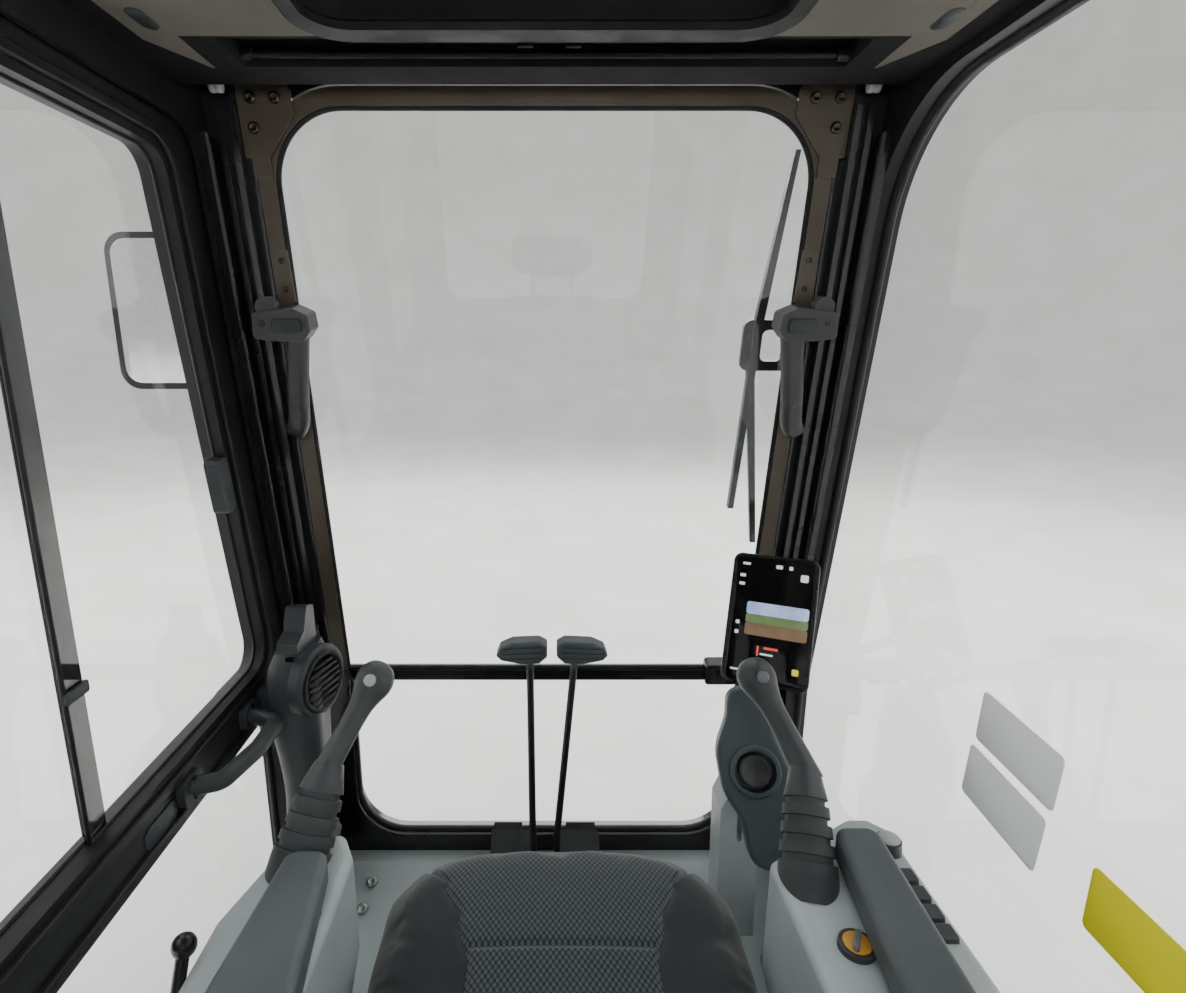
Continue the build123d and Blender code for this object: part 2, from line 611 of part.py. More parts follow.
# Upper window: a thin frame that carries the pane and its two corner plates
with BuildPart() as upper_window_frame:
    with BuildSketch(SCREEN) as ring:
        with BuildLine():
            Polyline((-OPEN_HALF + 2, BAR_HEIGHT), (OPEN_HALF - 2, BAR_HEIGHT),
                     (OPEN_HALF - 2, up_slope(CLEAR_TOP_Z) + FRAME_LIP - 2),
                     (-OPEN_HALF + 2, up_slope(CLEAR_TOP_Z) + FRAME_LIP - 2), close=True)
        make_face()
        fillet(ring.vertices().group_by(Axis.Y)[-1], CLEAR_CORNER + FRAME_LIP)
    extrude(amount=-BAR_DEPTH)
    with BuildSketch(SCREEN) as clear:
        with BuildLine():
            Polyline((-CLEAR_HALF, 0), (CLEAR_HALF, 0), (CLEAR_HALF, up_slope(CLEAR_TOP_Z)),
                     (-CLEAR_HALF, up_slope(CLEAR_TOP_Z)), close=True)
        make_face()
        fillet(clear.vertices().group_by(Axis.Y)[-1], CLEAR_CORNER)
    extrude(amount=-BAR_DEPTH, mode=Mode.SUBTRACT)
finish(upper_window_frame, "upper_window_frame")

with BuildPart() as upper_windshield:
    with BuildSketch(SCREEN.offset(-8)) as sheet:
        with BuildLine():
            Polyline((-CLEAR_HALF + FIT, BAR_HEIGHT + FIT), (CLEAR_HALF - FIT, BAR_HEIGHT + FIT),
                     (CLEAR_HALF - FIT, up_slope(CLEAR_TOP_Z) - FIT),
                     (-CLEAR_HALF + FIT, up_slope(CLEAR_TOP_Z) - FIT), close=True)
        make_face()
        fillet(sheet.vertices().group_by(Axis.Y)[-1], CLEAR_CORNER)
    extrude(amount=-GLASS)
finish(upper_windshield, "upper_windshield")

with BuildPart() as window_bar:
    with BuildSketch(SCREEN) as bar:
        with BuildLine():
            Polyline((-OPEN_HALF + 2, 0), (OPEN_HALF - 2, 0), (OPEN_HALF - 2, BAR_HEIGHT - FIT),
                     (-OPEN_HALF + 2, BAR_HEIGHT - FIT), close=True)
        make_face()
    extrude(amount=-BAR_DEPTH)
    with BuildSketch(SCREEN):
        for share in (1 / 3, 2 / 3):
            with Locations((0, BAR_HEIGHT * share)):
                Rectangle(2 * OPEN_HALF, BAR_GROOVE)
    extrude(amount=-BAR_GROOVE, mode=Mode.SUBTRACT)
finish(window_bar, "window_bar")

# Guide rails of the raising window, up both pillars, with the bar's catch block at the right end
with BuildPart() as window_guides:
    with BuildSketch(SCREEN.offset(FIT)):
        for side in (-1, 1):
            with Locations((side * GUIDE_X, (up_slope(CLEAR_TOP_Z) + 40) / 2)):
                Rectangle(GUIDE_WIDTH, up_slope(CLEAR_TOP_Z) - 40)
    extrude(amount=GUIDE_DEEP)
    with BuildSketch(SCREEN.offset(FIT + GUIDE_DEEP - 11)):
        for side in (-1, 1):
            with Locations((side * GUIDE_X, (up_slope(CLEAR_TOP_Z) + 40) / 2)):
                Rectangle(10, up_slope(CLEAR_TOP_Z) - 40)
    extrude(amount=GUIDE_DEEP, mode=Mode.SUBTRACT)
    with BuildSketch(SCREEN.offset(FIT)):
        with Locations((INNER - CATCH_AT[0], CATCH_AT[1])):
            RectangleRounded(CATCH_SIZE[0], CATCH_SIZE[1], 8)
    extrude(amount=CATCH_SIZE[2])
    with BuildSketch(SCREEN.offset(FIT)):
        with Locations((INNER - CATCH_AT[0], CATCH_AT[1])):
            Circle(9)
    extrude(amount=CATCH_SIZE[2] + 8)
finish(window_guides, "window_guides")

# Corner plates of the upper window and the strikers beside the latches
with BuildPart() as window_plates:
    for side in (-1, 1):
        with BuildSketch(SCREEN.offset(FIT)):
            with BuildLine():
                Polyline(*[(side * (INNER - inset), up_slope(z + CLEAR_TOP_Z - 1585)) for inset, z in CORNER_PLATE_OUTLINE],
                         close=True)
            make_face()
        extrude(amount=CORNER_PLATE)
        with BuildSketch(SCREEN.offset(FIT)):
            add(polygon([(side * (INNER - inset), up_slope(LATCH_Z + up)) for inset, up in STRIKER]))
        extrude(amount=CORNER_PLATE - 1)
finish(window_plates, "window_plates")

# Pillar mouldings beside the windshield
MOULDING_OUTLINE = [front_edge(SPLIT_Z + 60, MOULDING_BACK[0]), front_edge(SPLIT_Z + 60, MOULDING_BACK[1]),
                    front_edge(CLEAR_TOP_Z - 40, MOULDING_BACK[1]), front_edge(CLEAR_TOP_Z - 40, MOULDING_BACK[0])]
with BuildPart() as pillar_mouldings:
    for side in (-1, 1):
        with BuildSketch(Plane.YZ.offset(side * (INNER - FIT))):
            add(polygon(MOULDING_OUTLINE))
        extrude(amount=-side * MOULDING)
    inner_faces = pillar_mouldings.faces().sort_by(Axis.X)
    for face in (inner_faces.filter_by(Plane.YZ).sort_by(Axis.X)[1:3]):
        fillet(face.edges(), 5)
finish(pillar_mouldings, "pillar_mouldings")

# Window latches: a body on each pillar with an eye above it and a hanging curved grip
with BuildPart() as window_latches:
    for side in (-1, 1):
        with BuildSketch(SCREEN.offset(LATCH_FACES[0])):
            add(polygon([(side * (INNER - inset), up_slope(LATCH_Z + up)) for inset, up in LATCH_BODY], 6))
        extrude(amount=LATCH_FACES[1] - LATCH_FACES[0])
        with BuildLine(SCREEN) as path:
            Spline(*[(side * (INNER - inset), up_slope(LATCH_Z + up), deep) for inset, up, deep in LATCH_GRIP])
        with BuildSketch(Plane(origin=path.wire() @ 0, x_dir=(1, 0, 0), z_dir=path.wire() % 0)):
            RectangleRounded(32, 26, 10)
        sweep()
        with BuildSketch(SCREEN.offset(LATCH_FACES[0] + 12)):
            with Locations((side * (INNER - 60), up_slope(LATCH_Z + 24))):
                Circle(15)
        extrude(amount=18)
        with BuildSketch(SCREEN.offset(FIT)):
            with Locations((side * (OPEN_HALF - 13), up_slope(LATCH_Z))):
                Rectangle(22, 40)
        extrude(amount=LATCH_FACES[0])
finish(window_latches, "window_latches")

# Door: one frame with its sliding pane opening, the belt, the lower window and a raised bead inside
DOOR_X = -HALF - DOOR_PROUD
DOOR_IN = DOOR_X + DOOR_THICK
with BuildPart() as door_frame:
    with BuildSketch(Plane.YZ.offset(DOOR_X)):
        add(polygon(DOOR_SIDE, DOOR_CORNER))
    extrude(amount=DOOR_THICK)
    for outline in (DOOR_WINDOW, DOOR_LOWER_WINDOW):
        with BuildSketch(Plane.YZ.offset(DOOR_IN)):
            add(polygon(outline, 40, DOOR_BEAD[1]))
            add(polygon(outline, 40, DOOR_BEAD[0]), mode=Mode.SUBTRACT)
        extrude(amount=DOOR_BEAD_HIGH)
    fillet(door_frame.faces().filter_by(Plane.YZ).sort_by(Axis.X)[-2:].edges(), 3)
    with BuildSketch(Plane.YZ.offset(DOOR_X)):
        add(polygon(DOOR_WINDOW, 40))
        add(polygon(DOOR_LOWER_WINDOW, 50))
    extrude(amount=DOOR_THICK, mode=Mode.SUBTRACT)
finish(door_frame, "door_frame")

with BuildPart() as door_lower_glass:
    with BuildSketch(Plane.YZ.offset(DOOR_X + 10)):
        add(polygon(DOOR_LOWER_WINDOW, 50, -FIT))
    extrude(amount=PANE)
finish(door_lower_glass, "door_lower_glass")

PANES = ({"name": "door_front_pane", "x": DOOR_X + 16, "from_y": PANE_MEET_Y - PANE_LAP, "to_y": FRONT_Y},
         {"name": "door_rear_pane", "x": DOOR_X + 8, "from_y": REAR_Y, "to_y": PANE_MEET_Y + PANE_LAP})
for row in PANES:
    with BuildPart() as sliding:
        with BuildSketch(Plane.YZ.offset(row["x"])):
            add(polygon(DOOR_WINDOW, 40, -FIT))
            with Locations(((row["from_y"] + row["to_y"]) / 2, BELT_TOP_Z)):
                Rectangle(row["to_y"] - row["from_y"], ROOF_Z * 2, mode=Mode.INTERSECT)
        extrude(amount=PANE)
    finish(sliding, row["name"])

# Grab handle on the belt: a bowed bar between two feet
with BuildPart() as door_grab_handle:
    with BuildLine() as path:
        FilletPolyline((DOOR_IN, HANDLE_YS[0], HANDLE_Z), (DOOR_IN + HANDLE_OUT * 0.7, HANDLE_YS[0] + 14, HANDLE_Z),
                       (DOOR_IN + HANDLE_OUT, HANDLE_YS[0] + 90, HANDLE_Z),
                       (DOOR_IN + HANDLE_OUT, HANDLE_YS[1] - 24, HANDLE_Z), (DOOR_IN, HANDLE_YS[1], HANDLE_Z),
                       radius=20)
    with BuildSketch(Plane(origin=path.wire() @ 0, z_dir=path.wire() % 0)):
        Circle(HANDLE_R)
    sweep()
    split(bisect_by=Plane.YZ.offset(DOOR_IN), keep=Keep.TOP)
    with BuildSketch(Plane.YZ.offset(DOOR_IN)):
        with Locations(*[(y, HANDLE_Z) for y in HANDLE_YS]):
            RectangleRounded(48, 40, 12)
    extrude(amount=12)
finish(door_grab_handle, "door_grab_handle")

# Door latch: inside lever box, outside paddle and the catch of the front pane
LATCH_AT = (742, HANDLE_Z)
with BuildPart() as door_latch:
    with BuildSketch(Plane.YZ.offset(DOOR_IN)):
        with Locations(LATCH_AT):
            RectangleRounded(56, 40, 8)
    extrude(amount=24)
    with BuildSketch(Plane.YZ.offset(DOOR_X)):
        with Locations(LATCH_AT):
            RectangleRounded(140, 62, 14)
    extrude(amount=-16)
    with BuildSketch(Plane.YZ.offset(DOOR_X + 16 + PANE + FIT)):
        with Locations((PANE_MEET_Y + 338, 1053)):
            RectangleRounded(30, 84, 7, rotation=LEAN)
    extrude(amount=22)
finish(door_latch, "door_latch")

# Hinges: each has a knuckle on the pillar with the pin, and one on the door above it
HINGE_X = -HALF - HINGE_OUT
HINGE_Y = DOOR_REAR_Y - DOOR_GAP / 2
with BuildPart() as pillar_hinges:
    for z in HINGE_ZS:
        with BuildSketch(Plane.XY.offset(z - HINGE_LENGTH)):
            with Locations((HINGE_X, HINGE_Y)):
                Circle(HINGE_R)
            with Locations((HINGE_X / 2 - HALF / 2, HINGE_Y - HINGE_R / 2)):
                Rectangle(HINGE_OUT, HINGE_R)
        extrude(amount=HINGE_LENGTH - FIT)
        with BuildSketch(Plane.XY.offset(z - HINGE_LENGTH)):
            with Locations((-HALF - HINGE_LEAF / 2, HINGE_Y - HINGE_LEAF_LENGTH / 2)):
                Rectangle(HINGE_LEAF, HINGE_LEAF_LENGTH)
        extrude(amount=HINGE_LENGTH - FIT)
        with BuildSketch(Plane.XY.offset(z - FIT)):
            with Locations((HINGE_X, HINGE_Y)):
                Circle(HINGE_PIN_R)
        extrude(amount=HINGE_LENGTH)
finish(pillar_hinges, "pillar_hinges")

with BuildPart() as door_hinges:
    for z in HINGE_ZS:
        with BuildSketch(Plane.XY.offset(z)):
            with Locations((HINGE_X, HINGE_Y)):
                Circle(HINGE_R)
            with Locations(((HINGE_X + DOOR_X) / 2, HINGE_Y + HINGE_R)):
                Rectangle(DOOR_X - HINGE_X, HINGE_R)
            with Locations((DOOR_X - HINGE_LEAF / 2, HINGE_Y + HINGE_LEAF_LENGTH / 2 + HINGE_R / 2)):
                Rectangle(HINGE_LEAF, HINGE_LEAF_LENGTH)
            with Locations((HINGE_X, HINGE_Y)):
                Circle(HINGE_PIN_R + FIT, mode=Mode.SUBTRACT)
        extrude(amount=HINGE_LENGTH)
finish(door_hinges, "door_hinges")

# Roof hatch: a dished lid over the curb with its hinge at the rear
HATCH_TOP_Z = ROOF_Z + CURB
HATCH_HINGE_Y = HATCH_REAR_Y - CURB - HATCH_LIP - 8
HATCH_HINGE_Z = HATCH_TOP_Z + HATCH_THICK / 2
with BuildPart() as roof_hatch:
    with BuildSketch(Plane.XY.offset(HATCH_TOP_Z + FIT)):
        with Locations((0, HATCH_MID_Y)):
            RectangleRounded(2 * (HATCH_HALF + HATCH_LIP), HATCH_DEEP + 2 * HATCH_LIP, HATCH_CORNER + HATCH_LIP)
    extrude(amount=HATCH_THICK)
    fillet(roof_hatch.edges().group_by(Axis.Z)[-1], 12)
    with BuildSketch(Plane.XY.offset(HATCH_TOP_Z + FIT)):
        with Locations((0, HATCH_MID_Y)):
            RectangleRounded(2 * HATCH_HALF - 20, HATCH_DEEP - 20, HATCH_CORNER - 10)
    extrude(amount=HATCH_THICK - 8, mode=Mode.SUBTRACT)
    for x in HATCH_KNUCKLE_XS:
        with BuildSketch(Plane.YZ.offset(x - HATCH_KNUCKLE)):
            with Locations((HATCH_HINGE_Y, HATCH_HINGE_Z)):
                Circle(HATCH_HINGE_R)
            with Locations((HATCH_HINGE_Y + 12, HATCH_HINGE_Z)):
                Rectangle(24, HATCH_HINGE_R)
            with Locations((HATCH_HINGE_Y, HATCH_HINGE_Z)):
                Circle(HATCH_PIN_R + FIT, mode=Mode.SUBTRACT)
        extrude(amount=HATCH_KNUCKLE)
finish(roof_hatch, "roof_hatch")

with BuildPart() as hatch_pivots:
    for x in HATCH_KNUCKLE_XS:
        with BuildSketch(Plane.YZ.offset(x + FIT)):
            with Locations((HATCH_HINGE_Y, HATCH_HINGE_Z)):
                Circle(HATCH_HINGE_R)
            with Locations((HATCH_HINGE_Y, (HATCH_HINGE_Z + ROOF_Z) / 2)):
                Rectangle(HATCH_HINGE_R * 2, HATCH_HINGE_Z - ROOF_Z)
        extrude(amount=HATCH_EAR)
        with BuildSketch(Plane.YZ.offset(x - HATCH_KNUCKLE)):
            with Locations((HATCH_HINGE_Y, HATCH_HINGE_Z)):
                Circle(HATCH_PIN_R)
        extrude(amount=HATCH_KNUCKLE + 1)
finish(hatch_pivots, "hatch_pivots")

with BuildPart() as hatch_latch:
    with BuildSketch(Plane.YZ.offset(-34)) as lug:
        with BuildLine():
            Polyline((HATCH_FRONT_Y - 40, HATCH_TOP_Z + HATCH_THICK - 8 + FIT),
                     (HATCH_FRONT_Y - 14, HATCH_TOP_Z + HATCH_THICK - 8 + FIT),
                     (HATCH_FRONT_Y - 20, CEILING_Z + 12), (HATCH_FRONT_Y - 40, CEILING_Z + 12), close=True)
        make_face()
    extrude(amount=14)
    mirror(about=Plane.YZ)
    with Locations((0, HATCH_FRONT_Y - 30, CEILING_Z + 24)):
        Cylinder(8, 60, rotation=(0, 90, 0))
finish(hatch_latch, "hatch_latch")

# Seat pedestal: floor plate, bellows and the lower rails
with BuildPart() as seat_pedestal:
    with BuildSketch(Plane.XY.offset(FLOOR_Z)):
        with Locations((SEAT_X, (CUSHION_FRONT_Y + CUSHION_REAR_Y) / 2)):
            RectangleRounded(PEDESTAL_WIDTH, 380, 30)
    extrude(amount=16)
    with BuildSketch(Plane.XY.offset(FLOOR_Z + 16)):
        with Locations((SEAT_X, (CUSHION_FRONT_Y + CUSHION_REAR_Y) / 2)):
            RectangleRounded(PEDESTAL_WIDTH - 40, 330, 40)
    extrude(amount=PEDESTAL_TOP_Z - FLOOR_Z - 16)
    with BuildSketch(Plane.XY.offset(PEDESTAL_TOP_Z)):
        for side in (-1, 1):
            with Locations((SEAT_X + side * RAIL_SPREAD / 2, (CUSHION_FRONT_Y + CUSHION_REAR_Y) / 2)):
                Rectangle(RAIL_WIDTH, 400)
    extrude(amount=RAIL_HEIGHT)
finish(seat_pedestal, "seat_pedestal")

# Seat pan: pressed tray under the cushion with wings that carry both consoles
PAN_BOTTOM_Z = PEDESTAL_TOP_Z + RAIL_HEIGHT + FIT
CUSHION_BOTTOM_Z = CUSHION_TOP_Z - CUSHION_THICK
SEAT_MID_Y = (CUSHION_FRONT_Y + CUSHION_REAR_Y) / 2
with BuildPart() as seat_pan:
    with BuildSketch(Plane.XY.offset(PAN_BOTTOM_Z)):
        with Locations((SEAT_X, SEAT_MID_Y)):
            RectangleRounded(CUSHION_WIDTH - 30, CUSHION_FRONT_Y - CUSHION_REAR_Y - 40, 40)
    extrude(amount=CUSHION_BOTTOM_Z - FIT - PAN_BOTTOM_Z)
    with BuildSketch(Plane.XY.offset(PAN_BOTTOM_Z)):
        with Locations(((LEFT_CONSOLE_X[0] + 30 + RIGHT_CONSOLE_X[1] - 30) / 2, 210)):
            Rectangle(RIGHT_CONSOLE_X[1] - LEFT_CONSOLE_X[0] - 60, 200)
    extrude(amount=24)
    with BuildSketch(Plane.XY.offset(PAN_BOTTOM_Z + 24)):
        with Locations(((RIGHT_CONSOLE_X[0] + RIGHT_CONSOLE_X[1]) / 2, 210)):
            Rectangle(RIGHT_CONSOLE_X[1] - RIGHT_CONSOLE_X[0] - 60, 200)
    extrude(amount=CONSOLE_BOTTOM_Z - PAN_BOTTOM_Z - 24)
    with BuildSketch(Plane.XY.offset(PAN_BOTTOM_Z + 24)):
        with Locations(((LEFT_CONSOLE_X[0] + LEFT_CONSOLE_X[1]) / 2, 270)):
            Rectangle(60, 60)
    extrude(amount=CONSOLE_BOTTOM_Z - FIT - PAN_BOTTOM_Z - 24)
    with BuildSketch(Plane.YZ.offset(LEFT_CONSOLE_X[1] + FIT)):
        with Locations((TILT_Y, TILT_Z)):
            Circle(22)
        with Locations((TILT_Y + 10, (TILT_Z + PAN_BOTTOM_Z) / 2)):
            Rectangle(44, TILT_Z - PAN_BOTTOM_Z)
    extrude(amount=TILT_EAR)
    with BuildSketch(Plane.YZ.offset(LEFT_CONSOLE_X[1] + FIT)):
        with Locations((TILT_Y, TILT_Z)):
            Circle(TILT_PIN_R)
    extrude(amount=-TILT_PIN_LENGTH)
    for x in (SEAT_X - BACK_WIDTH / 2 - 10, SEAT_X + BACK_WIDTH / 2 - 2):
        with BuildSketch(Plane.YZ.offset(x)) as ear:
            with Locations((RECLINE_Y, RECLINE_Z)):
                Circle(28)
            with BuildLine():
                Polyline((RECLINE_Y - 28, RECLINE_Z), (RECLINE_Y + 28, RECLINE_Z), (190, PAN_BOTTOM_Z),
                         (RECLINE_Y + 60, PAN_BOTTOM_Z), close=True)
            make_face()
        extrude(amount=12)
    for side in (-1, 1):
        with BuildSketch(Plane.YZ.offset(SEAT_X + side * (BACK_WIDTH / 2 - 2))):
            with Locations((RECLINE_Y, RECLINE_Z)):
                Circle(RECLINE_PIN_R)
        extrude(amount=-side * 16)
finish(seat_pan, "seat_pan")

with BuildPart() as seat_cushion:
    with BuildSketch(Plane.XY.offset(CUSHION_BOTTOM_Z)):
        with BuildLine():
            right = [(SEAT_X + x, y) for x, y in CUSHION_SIDE]
            left = [(SEAT_X - x, y) for x, y in CUSHION_SIDE[-2::-1]]
            Spline(*right, *left)
            Line(left[-1], right[0])
        make_face()
    extrude(amount=CUSHION_THICK)
    fillet(seat_cushion.edges().group_by(Axis.Z)[-1], CUSHION_ROUND)
finish(seat_cushion, "seat_cushion")

# Backrest, drawn upright on its own plane, leaning back by the rest angle
BACK = Plane(origin=(SEAT_X, RECLINE_Y, RECLINE_Z), x_dir=(1, 0, 0),
             z_dir=(0, cos(radians(RECLINE_REST)), sin(radians(RECLINE_REST))))
with BuildPart() as seat_back:
    with BuildSketch(BACK.offset(-BACK_THICK / 2 + 20)):
        with Locations((0, -BACK_LENGTH / 2 - 20)):
            RectangleRounded(BACK_WIDTH - 30, BACK_LENGTH, 80)
    extrude(amount=BACK_THICK - 10)
    fillet(seat_back.edges().group_by(SortBy.LENGTH)[-1], 12)
    for side in (-1, 1):
        with BuildSketch(Plane.YZ.offset(SEAT_X + side * (BACK_WIDTH / 2 - 5))) as plate:
            with Locations((RECLINE_Y, RECLINE_Z)):
                Circle(24)
            with BuildLine():
                Polyline((RECLINE_Y + 10, RECLINE_Z + 22), (RECLINE_Y - 20, RECLINE_Z - 14),
                         (RECLINE_Y - 120, RECLINE_Z + 110), (RECLINE_Y - 60, RECLINE_Z + 150), close=True)
            make_face()
            with Locations((RECLINE_Y, RECLINE_Z)):
                Circle(RECLINE_PIN_R + FIT, mode=Mode.SUBTRACT)
        extrude(amount=-side * 16)
finish(seat_back, "seat_back")

HEAD_AT = BACK_LENGTH + 20 + HEADREST_GAP
with BuildPart() as headrest:
    with BuildSketch(BACK.offset(-HEADREST_THICK / 2 + 20)):
        with Locations((0, -HEAD_AT - HEADREST_HEIGHT / 2)):
            RectangleRounded(HEADREST_WIDTH, HEADREST_HEIGHT, 50)
    extrude(amount=HEADREST_THICK - 10)
    for x in (-60, 60):
        with Locations(BACK):
            with Locations((x, -HEAD_AT + HEADREST_GAP / 2, 10)):
                Cylinder(POST_R, HEADREST_GAP, rotation=(90, 0, 0))
finish(headrest, "headrest")


def console_plan(row):
    """Plan outline of a console with both front corners cut back."""
    inward, front = row["inward"], row["front"]
    near, far = row["xs"][::-1] if inward > 0 else row["xs"]
    return [(far, CONSOLE_REAR_Y), (near, CONSOLE_REAR_Y), (near, front - row["inner_cut"][1]),
            (near - inward * row["inner_cut"][0], front), (far + inward * row["outer_cut"][0], front),
            (far, front - row["outer_cut"][1])]


for row, stick in zip(CONSOLES, STICKS):
    with BuildPart() as console:
        with BuildSketch(Plane.XY.offset(CONSOLE_BOTTOM_Z)) as plan:
            with BuildLine():
                Polyline(*console_plan(row), close=True)
            make_face()
            fillet(plan.vertices(), 12)
        extrude(amount=CONSOLE_TOP_Z - CONSOLE_BOTTOM_Z)
        fillet(console.edges().group_by(Axis.Z)[-1], 12)
        with BuildSketch(Plane.YZ.offset(min(row["xs"]) - 1)):
            with BuildLine():
                Polyline((CONSOLE_FLAT_Y, CONSOLE_BOTTOM_Z - 1), (row["front"] + 1, CONSOLE_BOTTOM_Z - 1),
                         (row["front"] + 1, CONSOLE_TOP_Z - 110), (CONSOLE_FLAT_Y, CONSOLE_BOTTOM_Z), close=True)
            make_face()
        extrude(amount=max(row["xs"]) - min(row["xs"]) + 2, mode=Mode.SUBTRACT)
        with Locations(stick["base"]):
            Cylinder(WELL_R, 80, mode=Mode.SUBTRACT)
        if row["name"] == "left":
            with BuildSketch(Plane.YZ.offset(LEFT_CONSOLE_X[1])):
                with Locations((TILT_Y, TILT_Z)):
                    Circle(TILT_PIN_R + FIT)
            extrude(amount=-TILT_PIN_LENGTH - FIT, mode=Mode.SUBTRACT)
    finish(console, row["name"] + "_console")

# Knob, dial and rocker switches on the right console
with BuildPart() as console_controls:
    for row in SWITCHES:
        with BuildSketch(Plane.XY.offset(CONSOLE_TOP_Z + FIT)):
            with Locations((INNER - row["x"], row["y"])):
                Circle(row["r"])
        extrude(amount=row["high"], taper=6)
    for y in ROCKER_YS:
        with BuildSketch(Plane.XY.offset(CONSOLE_TOP_Z + FIT)):
            with Locations((INNER - ROCKER_INSET, y)):
                RectangleRounded(ROCKER_SIZE[0], ROCKER_SIZE[1], 3)
        extrude(amount=ROCKER_SIZE[2], taper=10)
finish(console_controls, "console_controls")

for row in ARMRESTS:
    front = [row["side"] * (INNER - inset) for inset in row["front"]]
    rear = [row["side"] * (INNER - inset) for inset in row["rear"]]
    with BuildPart() as armrest:
        with BuildSketch(Plane.XY.offset(ARMREST_TOP_Z - ARMREST_THICK)):
            add(polygon([(rear[0], ARMREST_REAR_Y), (rear[1], ARMREST_REAR_Y), (front[1], row["front_y"]),
                         (front[0], row["front_y"])], 16))
        extrude(amount=ARMREST_THICK)
        fillet(armrest.edges().group_by(Axis.Z)[-1], 9)
        with BuildSketch(Plane.XY.offset(CONSOLE_TOP_Z + FIT)):
            with Locations(((front[0] + front[1]) / 2, 200)):
                Rectangle(36, 120)
        extrude(amount=ARMREST_TOP_Z - ARMREST_THICK - CONSOLE_TOP_Z - FIT)
    finish(armrest, row["name"] + "_armrest")

# Joysticks: a ribbed boot with its collar, a waisted handle and a round head with its thumb button
for stick in STICKS:
    base, collar, head = (Vector(*stick[key]) for key in ("base", "collar", "head"))
    boot_along = (collar - base).normalized()
    boot_reach = (collar - base).length
    along = (head - collar).normalized()
    reach = (head - collar).length
    rise = boot_reach * BOOT_SHARE / BOOT_RIBS
    ribs = []
    for rib in range(BOOT_RIBS):
        radius = stick["boot_r"] - BOOT_SHRINK * rib
        ribs += [(radius, rise * rib), (radius - 1, rise * (rib + 0.6)), (radius - BOOT_GROOVE, rise * (rib + 0.62)),
                 (radius - BOOT_GROOVE, rise * (rib + 0.98))]
    with BuildPart() as joystick:
        with BuildSketch(axis_plane(base, boot_along)):
            with BuildLine():
                Polyline((0, -WELL_R), (stick["boot_r"], -WELL_R), *ribs, (radius - BOOT_GROOVE / 3, rise * BOOT_RIBS),
                         (GRIP_LOW_R + 2, boot_reach), (0, boot_reach), close=True)
            make_face()
        revolve(axis=Axis(base, boot_along))
        split(bisect_by=Plane.XY.offset(CONSOLE_TOP_Z + FIT), keep=Keep.TOP)
        with BuildSketch(axis_plane(collar, along)):
            with BuildLine():
                Polyline((0, -GRIP_LOW_R), (GRIP_LOW_R, -GRIP_LOW_R))
                Spline((GRIP_LOW_R, -GRIP_LOW_R), (GRIP_WAIST_R, reach * 0.4), (GRIP_TOP_R, reach - STICK_R),
                       (STICK_R, reach), (STICK_R * 0.75, reach + STICK_R * 0.7), (0, reach + STICK_R))
                Line((0, reach + STICK_R), (0, -GRIP_LOW_R))
            make_face()
        revolve(axis=Axis(collar, along))
        with BuildSketch(Plane(origin=head, z_dir=(0, -0.86, 0.5))):
            Circle(BUTTON_R)
        extrude(amount=STICK_R + 3)
    finish(joystick, stick["name"] + "_joystick")

# Safety lever on the outer side of the left console
SAFETY_X = LEFT_CONSOLE_X[0] - 8
with BuildPart() as safety_lever:
    with BuildLine() as path:
        FilletPolyline((SAFETY_X, 190, 560), (SAFETY_X, 245, 575), (SAFETY_X, 280, 632), radius=20)
    with BuildSketch(Plane(origin=path.wire() @ 0, z_dir=path.wire() % 0)):
        Circle(7)
    sweep()
    with Locations((SAFETY_X + 4 - FIT, 190, 560)):
        Cylinder(16, 8, rotation=(0, 90, 0))
    with Locations((SAFETY_X, 282, 636)):
        Sphere(13)
finish(safety_lever, "safety_lever")

